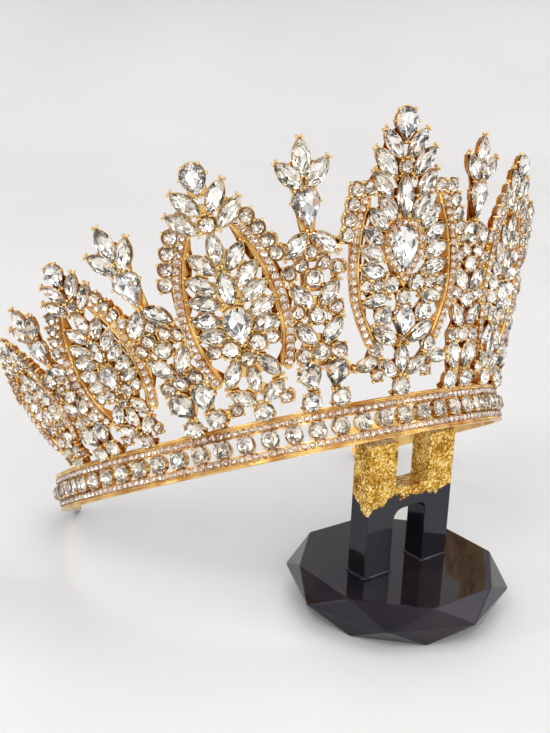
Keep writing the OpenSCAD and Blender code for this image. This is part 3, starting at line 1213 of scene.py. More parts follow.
@dataclass(frozen=True)
class StandSizes:
    """Driving sizes of the stand, as in the part's source, and of its trim.

    Attributes:
        height: Height of the posts' tops.
        base_height: Height of the base.
        girdle_radius: Half of the base's width.
        post_width: Width of a post.
        post_depth: Depth of a post.
        post_gap: Distance between the posts.
        offset: How far the stand is off the crown's middle.
        rest_gap: Gap between the posts and the crown.
        stand_back: How far the base's middle is behind the band's front.
        turn: Angle that the stand is turned by.
        edge: Width of a softened edge.
        glue: Height and width of the glue at a post's foot.
        glue_top: Thickness of the glue at its top.
        glue_corner: Radius of the glue's corners.
        haunches: Radii of the rounded corners under the rail, left and right.
        glue_sunk: How far the glue reaches into the base.
        haunch_sunk: How far a rounded corner reaches into the rail and the post.
        haunch_inset: How far it keeps behind the posts' front and back.
        border_share: Share of the posts that is black.
        rail_share: Share of the posts below their rail.
    """

    height: float = 55.0
    base_height: float = 13.0
    girdle_radius: float = 34.5
    post_width: float = 10.3
    post_depth: float = 7.6
    post_gap: float = 12.6
    offset: float = 4.0
    rest_gap: float = 0.1
    stand_back: float = 6.0
    turn: float = 5.0
    edge: float = 0.28
    glue: float = 0.9
    glue_top: float = 0.06
    glue_corner: float = 1.1
    haunches: tuple[float, float] = (3.2, 1.8)
    glue_sunk: float = 0.3
    haunch_sunk: float = 0.4
    haunch_inset: float = 0.02
    border_share: float = 0.57
    rail_share: float = 0.48

    def level(self, share: float) -> float:
        """Returns the height at a share of the way up the posts."""
        return self.base_height + (self.height - self.base_height) * share


@dataclass(frozen=True)
class Pose:
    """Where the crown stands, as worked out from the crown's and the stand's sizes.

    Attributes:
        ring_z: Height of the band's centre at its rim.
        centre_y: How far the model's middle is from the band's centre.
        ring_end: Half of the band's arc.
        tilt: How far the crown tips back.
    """

    ring_z: float
    centre_y: float
    ring_end: float
    tilt: float

    @property
    def matrix(self) -> Matrix:
        """Returns the matrix from the crown's own axes to the frame's."""
        return shift(0, -self.centre_y, self.ring_z) @ turn_x(-self.tilt)

    @classmethod
    def from_source(cls, sizes: CrownSizes, stand: StandSizes) -> "Pose":
        """Works the pose out as the part's source does.

        Args:
            sizes: The crown's sizes.
            stand: The stand's sizes.

        Returns:
            The pose.
        """
        table_gap = 0.05
        lean = math.radians(sizes.tilt)
        turn = math.radians(stand.turn)
        half_span = stand.post_gap / 2 + stand.post_width
        far = abs(stand.offset) + half_span * math.cos(turn)
        far += stand.post_depth / 2 * math.sin(turn)
        bow = 1 - math.cos(math.asin(far / sizes.band_radius))
        drop = sizes.band_radius * math.sin(lean) * bow
        ring_z = stand.height + stand.rest_gap + drop - sizes.band_radius * math.sin(lean)
        end = math.acos(-(ring_z - table_gap) / (sizes.lip_radius * math.sin(lean)))
        front_y = -sizes.band_radius * math.cos(lean)
        back_y = -sizes.lip_radius * math.cos(end) * math.cos(lean)
        back_y += sizes.band_height * math.sin(lean)
        reach = stand.girdle_radius * math.cos(turn)
        centre_y = (front_y + stand.stand_back - reach + back_y) / 2
        return cls(ring_z, centre_y, math.degrees(end), sizes.tilt)


@dataclass
class Finishes:
    """The materials that the crown's pieces share.

    Attributes:
        gilt: Cast gilt, for wires, collets and the backs of cups.
        bright_gilt: Polished gilt, for claws and beading.
        crystal: Crystal above a stone's girdle.
        foil: Foil below it.
    """

    gilt: bpy.types.Material
    bright_gilt: bpy.types.Material
    crystal: bpy.types.Material
    foil: bpy.types.Material

    @classmethod
    def build(cls) -> "Finishes":
        """Makes the shared materials.

        Returns:
            The materials.
        """
        polished = GiltFinish(
            name="gilt_polished", light=(1.0, 0.76, 0.36), deep=(0.7, 0.38, 0.1), roughness=0.14
        )
        finishes = (GiltFinish(), polished, CrystalFinish(), FoilFinish())
        return cls(*(finish.material() for finish in finishes))


@dataclass
class StoneSetter:
    """Sets stones and claws on any flat of the crown.

    Attributes:
        sizes: The crown's sizes.
        finishes: The shared materials.
        dice: The seeded source of small differences.
        nodes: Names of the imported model's nodes.
        overhang: How far a stone reaches over its rim.
        lift: Height of a girdle above the rims.
        small_round: Width below which a round stone has the warmer foil.
        sway: The most that a stone is tipped.
        claw_reach: How far a claw is from a stone's edge.
        claw_radius: Radius of a claw.
        claw_height: Height of a claw.
        claw_foot: Depth of a claw's foot below the rims.
    """

    sizes: CrownSizes
    finishes: Finishes
    dice: random.Random
    nodes: frozenset[str]
    overhang: float = 0.56
    lift: float = 0.14
    small_round: float = 5.4
    sway: float = 2.5
    claw_reach: float = 0.16
    claw_radius: float = 0.48
    claw_height: float = 1.5
    claw_foot: float = 0.55

    TIER_LIFT = {1: 0.25, 2: 0.08, 3: -0.1}

    @property
    def girdle(self) -> float:
        """Level of the stones' girdles above the back of a setting."""
        return self.sizes.plate_top + self.lift

    @property
    def claw_level(self) -> float:
        """Level of the claws' feet above the back of a setting."""
        return self.sizes.plate_top - self.claw_foot

    def tints_of(self, stone: Stone, plan: Outline) -> Sequence[Tint]:
        """Picks the colours of foil and painted reflection that suit a stone.

        Args:
            stone: The stone.
            plan: Its plan as it is cut.

        Returns:
            The colours.
        """
        if stone.tier == 1:
            return MAIN_FOIL_AND_REFLECTION_TINTS
        small = plan.cut is Cut.ROUND and plan.wide < self.small_round
        return ROUND_FOIL_AND_REFLECTION_TINTS if small else FOIL_AND_REFLECTION_TINTS

    def finish(
        self, piece: Piece, runs: Iterable[tuple[int, Sequence[Tint]]], *nodes: str
    ) -> None:
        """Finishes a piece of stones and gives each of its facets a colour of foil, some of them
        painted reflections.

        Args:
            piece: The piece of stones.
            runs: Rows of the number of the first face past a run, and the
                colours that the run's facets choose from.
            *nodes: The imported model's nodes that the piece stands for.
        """
        made = piece.finish(Slot.CRYSTAL, (self.finishes.crystal, self.finishes.foil), nodes)
        layer = made.data.attributes.new(FoilFinish.attribute, "FLOAT_COLOR", "FACE")
        values: list[float] = []
        # Each facet gets a colour of foil; the darker ones stand in as painted reflections.
        for end, tints in runs:
            while len(values) < 4 * end:
                values.extend((*self.dice.choice(tints), 1.0))
        layer.data.foreach_set("color", values)

    def finish_alike(self, piece: Piece, tints: Sequence[Tint], *nodes: str) -> None:
        """Finishes a piece whose stones all choose from the same colours of foil and painted
        reflection.
        """
        self.finish(piece, [(len(piece.bm.faces), tints)], *nodes)

    def stones(self, name: str, posed: Matrix, stones: Iterable[Stone], node: str) -> None:
        """Makes a piece of finely cut stones.

        Args:
            name: Name of the piece.
            posed: Matrix from the setting's flat to the frame.
            stones: The stones to cut.
            node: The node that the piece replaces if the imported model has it.
        """
        piece = Piece(name, posed)
        runs = []
        for stone in stones:
            tip = turn_x(self.dice.uniform(-self.sway, self.sway))
            tip = tip @ turn_y(self.dice.uniform(-self.sway, self.sway))
            plan = stone.outline.grown(self.overhang)
            level = self.girdle + self.TIER_LIFT[stone.tier]
            piece.stamp(cut_gem(plan, FINE_CUT), stone.place(level) @ tip)
            runs.append((len(piece.bm.faces), self.tints_of(stone, plan)))
        self.finish(piece, runs, *self.nodes.intersection([node]))

    def claw_spots(self, plan: Outline) -> list[Vector]:
        """Lists the places of a stone's claws.

        Args:
            plan: The stone's plan.

        Returns:
            The places, in the stone's own axes.
        """
        if plan.cut is Cut.MARQUISE:
            tip = plan.long / 2 + 0.35
            return [Vector((x, y, 0)) for x in (-0.66, 0.66) for y in (-tip, tip)]
        rim = plan.grown(self.claw_reach)
        if plan.cut is Cut.ROUND:
            return rim.points_at(CORNERS)
        tip = plan.long / 2 + 0.1
        return [Vector((x, -tip, 0)) for x in (-0.55, 0.55)] + rim.points_at((0, 50, 130, 180))

    def claws(self, name: str, posed: Matrix, stones: Iterable[Stone]) -> None:
        """Makes the piece of claws that hold the stones of a setting.

        Args:
            name: Name of the piece.
            posed: Matrix from the setting's flat to the frame.
            stones: The stones that they hold.
        """
        piece = Piece(name, posed)
        claw = claw_ball(self.claw_radius, self.claw_height)
        for stone in stones:
            base = stone.place(self.claw_level)
            for spot in self.claw_spots(stone.outline.grown(self.overhang)):
                piece.stamp(claw, base @ Matrix.Translation(spot))
        piece.finish(Slot.GILT, (self.finishes.bright_gilt,))


@dataclass
class Motif:
    """One flat setting that stands on the band: an arch, a finial or the centre.

    Attributes:
        name: The start of its pieces' and nodes' names.
        place: Its place in band pitches from the middle.
        lean: How far it leans to its own side.
        side: The side it stands on.
        stones: Its stones, both halves.
        mains: Names of its main stones' nodes, in the order of the table.
        wire: The middle line of its right-hand wire, from shoulder to foot.
        pave_size: Width of a pave stone.
        pave_pitch: Distance between two of them.
        halo_steps: Number of steps in the line of a halo.
        boss_inset: How far a cup's rounded back keeps inside the stone's outline.
        boss_sunk: How far that back starts inside the metal.
    """

    name: str
    place: float
    lean: float
    side: Side
    stones: list[Stone]
    mains: tuple[str, ...]
    wire: list[Vector] = field(default_factory=list)
    pave_size: float = 2.3
    pave_pitch: float = 2.2
    halo_steps: int = 72
    boss_inset: float = 0.12
    boss_sunk: float = 0.03

    def posed(self, sizes: CrownSizes, pose: Pose) -> Matrix:
        """Works out where the setting's flat is in the frame.

        Args:
            sizes: The crown's sizes.
            pose: The crown's pose.

        Returns:
            The matrix from the flat to the frame, in millimetres.
        """
        return (
            pose.matrix
            @ turn_z(self.side.value * self.place * sizes.pitch)
            @ shift(0, -sizes.band_radius - sizes.plate_set_off, sizes.band_height)
            @ turn_x(90 + sizes.flare)
            @ turn_z(-self.side.value * self.lean)
        )

    def covers(self, spot: Vector) -> bool:
        """Tells whether a spot on the setting's flat lies on the setting.

        Args:
            spot: A place in the setting's own axes.

        Returns:
            Whether it does.
        """
        stone_margin, wire_margin = 2.6, 4.0
        flat = Vector((spot.x, spot.y, 0))
        for stone in self.stones:
            if math.dist(flat.xy, (stone.x, stone.y)) < stone.outline.long / 2 + stone_margin:
                return True
        return any((flat - p).length < wire_margin for line in self.both_wires for p in line)

    @cached_property
    def both_wires(self) -> list[list[Vector]]:
        """The wire's smooth middle lines on both sides.

        Returns:
            The lines, or none for a setting without a wire.
        """
        if not self.wire:
            return []
        line = smooth_line(self.wire, 5)
        return [line, [Vector((-p.x, p.y, p.z)) for p in line]]

    def beside_wires(self, reach: float) -> list[list[Vector]]:
        """Returns the wires' middle lines moved into the arch by reach."""
        return [set_off(line, sign * reach) for sign, line in zip((1, -1), self.both_wires)]

    def build(self, setter: StoneSetter, pose: Pose) -> None:
        """Makes all the pieces of the setting.

        Args:
            setter: What sets the stones.
            pose: The crown's pose.
        """
        posed = self.posed(setter.sizes, pose)
        mains = [s for s in self.stones if s.tier == 1]
        rest = [s for s in self.stones if s.tier != 1]
        for node, stone in zip(self.mains, mains):
            setter.stones(node + "_cut", posed, [stone], node)
        setter.stones(self.name + "_stones_cut", posed, rest, self.name + "_stones")
        setter.claws(self.name + "_claws", posed, self.stones)
        self.build_backs(setter, posed)
        if self.wire:
            self.build_arch(setter, posed)
        self.build_halo(setter, posed)

    def build_backs(self, setter: StoneSetter, posed: Matrix) -> None:
        """Makes the rounded backs of the cups behind every stone.

        Args:
            setter: What sets the stones.
            posed: Matrix from the setting's flat to the frame.
        """
        piece = Piece(self.name + "_cup_backs", posed)
        sizes = setter.sizes
        for stone in self.stones:
            boss = cup_boss(stone.outline.grown(-self.boss_inset), sizes.boss)
            piece.stamp(boss, stone.place(sizes.back_level + self.boss_sunk))
        piece.finish(Slot.GILT, (setter.finishes.gilt,))

    def build_arch(self, setter: StoneSetter, posed: Matrix) -> None:
        """Makes the round wires and the pave rows of an arch.

        Args:
            setter: What sets the stones.
            posed: Matrix from the setting's flat to the frame.
        """
        sizes = setter.sizes
        wire = Piece(self.name + "_wire", posed)
        for line in self.both_wires:
            raised = [p + Vector((0, 0, sizes.plate_top)) for p in line]
            wire.tube(raised, sizes.wire_width / 2)
        wire.finish(Slot.GILT, (setter.finishes.gilt,))
        chain = Chain(self.name + "_pave", posed, self.pave_size, sizes.plate_top)
        for line in self.beside_wires(sizes.strip_reach):
            chain.lay(line, self.pave_pitch)
        chain.finish(setter)

    def build_halo(self, setter: StoneSetter, posed: Matrix) -> None:
        """Makes the pave row round a large heart stone.

        Args:
            setter: What sets the stones.
            posed: Matrix from the setting's flat to the frame.
        """
        sizes = setter.sizes
        reach = sizes.seat_gap + sizes.rim + sizes.halo_width / 2
        turns = [math.tau * (i + 0.5) / self.halo_steps for i in range(self.halo_steps + 1)]
        for stone in self.stones:
            if stone.outline.wide <= sizes.halo_min:
                continue
            chain = Chain(self.name + "_halo", posed, self.pave_size, sizes.plate_top)
            plan, place = stone.outline.grown(reach), stone.place(0)
            chain.lay([place @ plan.point(turn) for turn in turns], self.pave_pitch)
            chain.finish(setter)


def smooth_line(points: Sequence[Vector], steps: int) -> list[Vector]:
    """Draws a smooth line through points.

    Args:
        points: The points it passes.
        steps: Number of steps between two of them.

    Returns:
        The line's points.
    """
    padded = [2 * points[0] - points[1], *points, 2 * points[-1] - points[-2]]
    line: list[Vector] = []
    for a, b, c, d in zip(padded, padded[1:], padded[2:], padded[3:]):
        slope, bend, twist = c - a, 2 * a - 5 * b + 4 * c - d, 3 * b - a - 3 * c + d
        for t in (i / steps for i in range(steps)):
            line.append(0.5 * (2 * b + slope * t + bend * t * t + twist * t**3))
    line.append(points[-1].copy())
    return line


def set_off(line: Sequence[Vector], reach: float) -> list[Vector]:
    """Moves a flat line sideways.

    Args:
        line: Its points.
        reach: Distance to the left of its direction.

    Returns:
        The moved points.
    """
    moved = []
    for i, point in enumerate(line):
        along = (line[min(i + 1, len(line) - 1)] - line[max(i - 1, 0)]).normalized()
        moved.append(point + reach * Vector((-along.y, along.x, 0)))
    return moved


def even_steps(line: Sequence[Vector], pitch: float) -> list[tuple[Vector, Vector]]:
    """Spaces places evenly along a line.

    Args:
        line: The line's points.
        pitch: Wished distance between two places.

    Returns:
        Rows of place and direction.
    """
    spans = [(b - a).length for a, b in zip(line, line[1:])]
    count = max(1, round(sum(spans) / pitch))
    step = sum(spans) / count
    places: list[tuple[Vector, Vector]] = []
    walked, target = 0.0, step / 2
    for (a, b), span in zip(zip(line, line[1:]), spans):
        while len(places) < count and target <= walked + span + 1e-9:
            t = (target - walked) / span
            places.append((a.lerp(b, t), (b - a).normalized()))
            target += step
        walked += span
    return places


@dataclass
class Chain:
    """A row of small pave stones in collets, with beads between them.

    Attributes:
        name: Start of its pieces' names.
        posed: Matrix from its own flat to the frame.
        size: Width of a stone.
        level: Height of the metal under it.
        girdle: Height of a stone's girdle above that metal.
        overlap: How far a stone reaches over its collet.
        wall: Thickness of a collet's wall.
        collet: Height of a collet.
        bead_radius: Radius of a bead.
        bead_height: Height of a bead.
        bead_gap: Distance along the row from a stone's edge to a bead's middle.
        bead_share: Distance of a bead from the row's middle, as a share of half a stone.
    """

    name: str
    posed: Matrix
    size: float
    level: float
    girdle: float = 0.42
    overlap: float = 0.04
    wall: float = 0.16
    collet: float = 0.45
    bead_radius: float = 0.24
    bead_height: float = 0.72
    bead_gap: float = 0.08
    bead_share: float = 0.62

    def __post_init__(self) -> None:
        """Starts the row's two pieces."""
        self.stones = Piece(self.name + "_stones", self.posed)
        self.metal = Piece(self.name + "_beads", self.posed)

    def set_stone(self, place: Matrix) -> None:
        """Sets one stone with its collet and its beads.

        Args:
            place: Matrix from the stone's own axes, with x along the row.
        """
        half = self.size / 2
        gem = cut_gem(Outline(Cut.ROUND, self.size, self.size), PAVE_CUT)
        self.stones.stamp(gem, place @ shift(0, 0, self.girdle))
        self.metal.stamp(collet_ring(half - self.overlap, self.wall, self.collet), place)
        bead = claw_ball(self.bead_radius, self.bead_height)
        for side in (-1, 1):
            spot = shift(half + self.bead_gap, side * half * self.bead_share, 0)
            self.metal.stamp(bead, place @ spot)

    def lay(self, line: Sequence[Vector], pitch: float) -> None:
        """Lays the chain along a flat line.

        Args:
            line: The line's points.
            pitch: Wished distance between two stones.
        """
        for spot, along in even_steps(line, pitch):
            turn = math.degrees(math.atan2(along.y, along.x))
            self.set_stone(shift(spot.x, spot.y, self.level) @ turn_z(turn))

    def finish(self, setter: StoneSetter) -> None:
        """Finishes the stones and the metal of the chain."""
        setter.finish_alike(self.stones, PAVE_FOIL_AND_REFLECTION_TINTS)
        self.metal.finish(Slot.GILT, (setter.finishes.gilt,))


@dataclass
class Band:
    """The head band: its stones, pave rows, beading and rounded rails.

    Attributes:
        sizes: The crown's sizes.
        pose: The crown's pose.
        stone_margin: Degrees without stones at each end of the band.
        pave_margin: Degrees without pave stones there.
        bead_margin: Degrees without beading there.
        pave_size: Width of a pave stone.
        pave_per_pitch: Number of pave stones to each band stone.
        pave_rise: How far a pave row is from its strip's middle.
        claw_radius: Radius of a claw.
        claw_height: Height of a claw.
        claw_reach: How far a claw is from a stone's edge.
        bead_radius: Radius of a bead.
        bead_height: Height of a bead.
        bead_pitch: Distance between two beads.
        bead_rise: How far the beading is from its lip.
        bead_reach: How far the beading's feet are off the strip.
        rail_radius: Radius of a lip's rounded edge.
        rail_inset: How far its middle is inside the lip's radius.
        rail_rise: Distance from its middle to the band's edge.
        rail_steps: Number of steps along it.
        rail_share: Share of the band's arc that it follows.
        seam: Angle of the soldered seam in the lower lip.
        seam_levels: Heights of the seam's beads.
        seam_sway: Degrees that they sway to either side.
        seam_sunk: How far they are sunk in the lip.
        seam_bead: Radius and height of such a bead.
    """

    sizes: CrownSizes
    pose: Pose
    stone_margin: float = 2.5
    pave_margin: float = 0.8
    bead_margin: float = 0.4
    pave_size: float = 2.25
    pave_per_pitch: int = 3
    pave_rise: float = 0.1
    claw_radius: float = 0.36
    claw_height: float = 1.3
    claw_reach: float = 0.1
    bead_radius: float = 0.27
    bead_height: float = 0.5
    bead_pitch: float = 0.62
    bead_rise: float = 0.2
    bead_reach: float = 0.1
    rail_radius: float = 0.42
    rail_inset: float = 0.25
    rail_rise: float = 0.4
    rail_steps: int = 150
    rail_share: float = 0.999
    seam: float = -50.2
    seam_levels: tuple[float, ...] = (0.15, 0.65, 1.15, 1.6)
    seam_sway: float = 0.12
    seam_sunk: float = 0.15
    seam_bead: tuple[float, float] = (0.34, 0.62)

    def angles(self, step: float, margin: float) -> list[float]:
        """Spaces angles evenly to both sides of the band's middle.

        Args:
            step: Degrees between two of them.
            margin: Degrees left free at each end of the band.

        Returns:
            The angles.
        """
        count = int((self.pose.ring_end - margin) // step)
        return [i * step for i in range(-count, count + 1)]

    def at(self, angle: float, radius: float, height: float) -> Matrix:
        """Returns the matrix of a flat that faces outward on the band."""
        return turn_z(angle) @ shift(0, -radius, height) @ turn_x(90)

    def build(self, setter: StoneSetter) -> None:
        """Makes every piece of the band.

        Args:
            setter: What sets the stones.
        """
        self.build_stones(setter)
        self.build_strips(setter)
        self.build_rails(setter)

    def build_stones(self, setter: StoneSetter) -> None:
        """Makes the row of round stones and its claws.

        Args:
            setter: What sets the stones.
        """
        s = self.sizes
        stones = Piece("band_stones_cut", self.pose.matrix)
        claws = Piece("band_claws", self.pose.matrix)
        plan = Outline(Cut.ROUND, s.band_stone, s.band_stone).grown(setter.overhang)
        gem, claw = cut_gem(plan, FINE_CUT), claw_ball(self.claw_radius, self.claw_height)
        for angle in self.angles(s.pitch, self.stone_margin):
            flat = self.at(angle, s.band_radius, s.band_height / 2)
            spin = turn_z(setter.dice.uniform(0, 45))
            stones.stamp(gem, flat @ shift(0, 0, setter.girdle) @ spin)
            for spot in plan.grown(self.claw_reach).points_at(CORNERS):
                claws.stamp(claw, flat @ shift(spot.x, spot.y, setter.claw_level))
        setter.finish_alike(stones, ROUND_FOIL_AND_REFLECTION_TINTS, "band_stones")
        claws.finish(Slot.GILT, (setter.finishes.bright_gilt,))

    def build_strips(self, setter: StoneSetter) -> None:
        """Makes the pave rows of the lower and the upper strip.

        Args:
            setter: What sets the stones.
        """
        s = self.sizes
        middle = s.lip_height + s.strip_height / 2 + self.pave_rise
        for name, height in (("lower", middle), ("upper", s.band_height - middle)):
            chain = Chain("band_" + name + "_pave", self.pose.matrix, self.pave_size, 0)
            for angle in self.angles(s.pitch / self.pave_per_pitch, self.pave_margin):
                chain.set_stone(self.at(angle, s.strip_radius, height))
            chain.finish(setter)

    def build_rails(self, setter: StoneSetter) -> None:
        """Makes the rounded edges of the lips, the beading by them and the seam.

        Args:
            setter: What sets the stones.
        """
        s = self.sizes
        rails = Piece("band_rails", self.pose.matrix)
        beads = Piece("band_beading", self.pose.matrix)
        step = math.degrees(self.bead_pitch / s.strip_radius)
        shares = [2 * i / self.rail_steps - 1 for i in range(self.rail_steps + 1)]
        bead = claw_ball(self.bead_radius, self.bead_height)
        line = s.lip_height + self.bead_rise
        levels = ((self.rail_rise, line), (s.band_height - self.rail_rise, s.band_height - line))
        for edge, row in levels:
            start = Vector((0, -s.lip_radius + self.rail_inset, edge))
            turns = [turn_z(self.pose.ring_end * share * self.rail_share) for share in shares]
            rails.tube([turn @ start for turn in turns], self.rail_radius)
            for angle in self.angles(step, self.bead_margin):
                beads.stamp(bead, self.at(angle, s.strip_radius + self.bead_reach, row))
        for i, height in enumerate(self.seam_levels):
            angle = self.seam + self.seam_sway * (-1) ** i
            spot = self.at(angle, s.lip_radius - self.seam_sunk, height)
            beads.stamp(claw_ball(*self.seam_bead), spot)
        rails.finish(Slot.GILT, (setter.finishes.gilt,))
        beads.finish(Slot.GILT, (setter.finishes.bright_gilt,))


@dataclass
class Casting:
    """The soldered metal, with its cups tapered to the back and painted shade on their walls.

    Attributes:
        sizes: The crown's sizes.
        taper: How far a cup narrows per millimetre of depth.
        foot: Height above the band up to which nothing is changed.
        backing: Width of the backing sheet round a stone.
        beyond: How far past the backing a spot still belongs to its stone.
        most_drawn: The most that a wall is drawn under its stone, as a share of the width.
        pocket_slack: How far from a stone's cup a spot still is on its pocket.
        pocket_floor: Height that the pockets' spots lie above.
        strip_share: Place of the strips' middles as a share of the way from the wire.
        slack: How far a spot may be off a level and still be on it.
        shade: Name of the attribute of painted shade, which is 1 on the rims and small on the
            walls.
        rim_value: Its value on the rims.
        plain_value: Its value on the band and the settings' backs.
        shaded_wall_value: Its value on the walls, where it paints shade.
        flat_facing: How squarely a rim or a back faces along the setting's depth.
    """

    sizes: CrownSizes
    taper: float = 0.42
    foot: float = 1.6
    backing: float = 1.1
    beyond: float = 0.04
    most_drawn: float = 0.3
    pocket_slack: float = 0.05
    pocket_floor: float = 0.5
    strip_share: float = 0.75
    slack: float = 0.03
    shade: str = "rim_share"
    rim_value: float = 1.0
    plain_value: float = 0.8
    shaded_wall_value: float = 0.15
    flat_facing: float = 0.7

    def owner_of(self, flat: Vector, stones: Iterable[Stone]) -> tuple[float, Stone | None]:
        """Finds the stone that a spot of a setting's wall belongs to.

        Args:
            flat: A place on the setting's flat.
            stones: The setting's stones.

        Returns:
            The spot's distance from the stone's outline, and the stone if there is one.
        """
        most = self.sizes.seat_gap + self.backing + self.beyond
        margin = 2.0
        best, owner = math.inf, None
        for stone in stones:
            if abs(flat.x - stone.x) + abs(flat.y - stone.y) > stone.outline.long + margin:
                continue
            reach = stone.outline.reach_of(stone.place(0).inverted() @ flat, most)
            if reach < best:
                best, owner = reach, stone
        return best, owner

    def drawn_in(
        self, spot: Vector, stones: Iterable[Stone], strips: Iterable[Sequence[Vector]]
    ) -> Vector:
        """Moves a spot of a setting's wall towards the stone or the strip it belongs to.

        Args:
            spot: A place in the setting's own axes.
            stones: The setting's stones.
            strips: Middle lines of the arch's strips.

        Returns:
            The new place.
        """
        s = self.sizes
        flat = Vector((spot.x, spot.y, 0))
        reach, owner = self.owner_of(flat, stones)
        depth = s.plate_top - spot.z
        level = s.plate_top - depth * s.thin
        if owner is None:
            points = (p for line in strips for p in line)
            near = min(points, key=lambda p: (p - flat).length, default=flat)
            if (near - flat).length < s.bead_strip:
                flat = near.lerp(flat, 1 - self.taper * depth / s.bead_strip)
            return Vector((flat.x, flat.y, level))
        plan, place = owner.outline, owner.place(0)
        rim = min(reach, s.seat_gap + s.rim)
        goal = max(rim - self.taper * depth, -self.most_drawn * plan.wide)
        tip = plan.tip_share
        own = place.inverted() @ flat
        own.x *= (plan.wide / 2 + goal) / (plan.wide / 2 + reach)
        own.y *= (plan.long / 2 + goal * tip) / (plan.long / 2 + reach * tip)
        moved = place @ own
        in_pocket = reach < s.seat_gap + self.pocket_slack and spot.z > self.pocket_floor
        return Vector((moved.x, moved.y, spot.z if in_pocket else level))

    def share_of(self, facing: float) -> float:
        """Picks the value of painted shade for a face: little on walls, full on rims.

        Args:
            facing: How squarely the face looks along the setting's depth.

        Returns:
            The value.
        """
        if abs(facing) <= self.flat_facing:
            return self.shaded_wall_value
        return self.rim_value if facing > 0 else self.plain_value

    def taper_motif(self, bm: bmesh.types.BMesh, motif: Motif, posed: Matrix) -> None:
        """Tapers one setting's cups and paints shade on their walls, with lighter rims.

        Args:
            bm: The casting, in metres.
            motif: The setting.
            posed: Matrix from the setting's flat to the frame.
        """
        layer = bm.faces.layers.float[self.shade]
        back = posed.inverted() @ Matrix.Scale(1 / MM, 4)
        forth = TO_METRES @ posed
        strips = motif.beside_wires(self.sizes.strip_reach * self.strip_share)
        top = self.sizes.plate_top
        held = set()
        for vert in bm.verts:
            own = back @ vert.co
            if not -self.slack < own.z < top + self.slack or not motif.covers(own):
                continue
            held.add(vert)
            if own.z < top - self.slack and own.y > self.foot:
                vert.co = forth @ self.drawn_in(own, motif.stones, strips)
        # Painted shade: walls get a low value, rims and flat backs a higher one.
        for face in {f for v in held for f in v.link_faces if held.issuperset(f.verts)}:
            face[layer] = self.share_of((back.to_3x3() @ face.normal).normalized().z)

    def build(
        self, source: bpy.types.Mesh, pose: Pose, motifs: Iterable[Motif], finish: Finish
    ) -> None:
        """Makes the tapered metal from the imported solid.

        Args:
            source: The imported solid's mesh.
            pose: The crown's pose.
            motifs: The crown's settings.
            finish: Its finish.
        """
        bm = bmesh.new()
        bm.from_mesh(source)
        bmesh.ops.remove_doubles(bm, verts=bm.verts, dist=1e-6)
        layer = bm.faces.layers.float.new(self.shade)
        for face in bm.faces:
            face[layer] = self.plain_value
        for motif in motifs:
            self.taper_motif(bm, motif, motif.posed(self.sizes, pose))
        bmesh.ops.dissolve_degenerate(bm, dist=1e-7, edges=bm.edges)
        make_piece("crown_casting", bm, (finish.material(),), ("crown_frame",))


@dataclass
class Crown:
    """The whole crown, from the band to the finials' tips.

    Attributes:
        sizes: The crown's sizes.
        pose: Where it stands.
        setter: What sets its stones.
        smaller: Size of the second arch and the third finial.
        smallest: Size of the third arch.
        slimmer: Width of the slimmer finials.
        taken_out: Heights between which a slimmer finial lacks its stones.
    """

    sizes: CrownSizes
    pose: Pose
    setter: StoneSetter
    smaller: float = 0.8
    smallest: float = 0.62
    slimmer: float = 0.86
    taken_out: tuple[float, float] = (26.8, 37.2)

    @staticmethod
    def read(rows: Iterable[Row], k: float = 1.0) -> list[Stone]:
        """Returns a table's stones at k times their size."""
        return [Stone.from_row(row).scaled(k) for row in rows]

    @staticmethod
    def both(stones: Sequence[Stone]) -> list[Stone]:
        """Returns stones with the twins of those right of the middle."""
        return [*stones, *(s.mirrored() for s in stones if s.x > 0)]

    @staticmethod
    def line(points: Iterable[Sequence[float]], k: float = 1.0) -> list[Vector]:
        """Returns a wire's points at k times their size."""
        return [Vector((x * k, y * k, 0)) for x, y in points]

    def short_finial(self, k: float = 1.0) -> list[Stone]:
        """Reads the stones of the slimmer finial, which has one tier less.

        Args:
            k: How many times as large it is.

        Returns:
            The stones.
        """
        low, high = self.taken_out
        kept = [s for s in self.read(FINIAL_ROWS) if s.y < low or s.y > high]
        return [s.lowered(low, high).slimmed(self.slimmer).scaled(k) for s in kept]

    def motifs(self) -> list[Motif]:
        """Lists the thirteen settings of the crown.

        Returns:
            The settings.
        """
        centre = self.both(self.read(CENTRE_ROWS))
        mains = ("centre_top_pear", "centre_heart_pear", "centre_drop_pear")
        made = [Motif("centre", 0, 0, Side.MIDDLE, centre, mains, self.line(CENTRE_WIRE))]
        arch, pear = ("_top_pear", "_heart_pear"), ("_pear",)
        table = (
            ("finial_1", 3.42, 0, self.read(FINIAL_ROWS), pear, 0),
            ("arch_1", 5.96, 4.5, self.read(ARCH_ROWS), arch, 1),
            ("finial_2", 8.35, 11.5, self.short_finial(), pear, 0),
            ("arch_2", 11.2, 6, self.read(ARCH_ROWS, self.smaller), arch, self.smaller),
            ("finial_3", 13.4, 9.5, self.short_finial(self.smaller), pear, 0),
            ("arch_3", 15.65, 6, self.read(ARCH_ROWS, self.smallest), arch, self.smallest),
        )
        for side in (Side.LEFT, Side.RIGHT):
            for name, place, lean, stones, ends, k in table:
                full = f"{name}_{side.name.lower()}"
                wire = self.line(ARCH_WIRE, k) if k else []
                names = tuple(full + end for end in ends)
                made.append(Motif(full, place, lean, side, self.both(stones), names, wire))
        return made

    def build(self, solid: bpy.types.Mesh) -> None:
        """Makes the band, every setting and the metal.

        Args:
            solid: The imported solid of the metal.
        """
        Band(self.sizes, self.pose).build(self.setter)
        motifs = self.motifs()
        for motif in motifs:
            motif.build(self.setter, self.pose)
        # The casting's gilt is painted darker on the cups' walls as painted shade.
        finish = GiltFinish(name="gilt_casting", painted_shade_attribute=Casting.shade)
        Casting(self.sizes).build(solid, self.pose, motifs, finish)


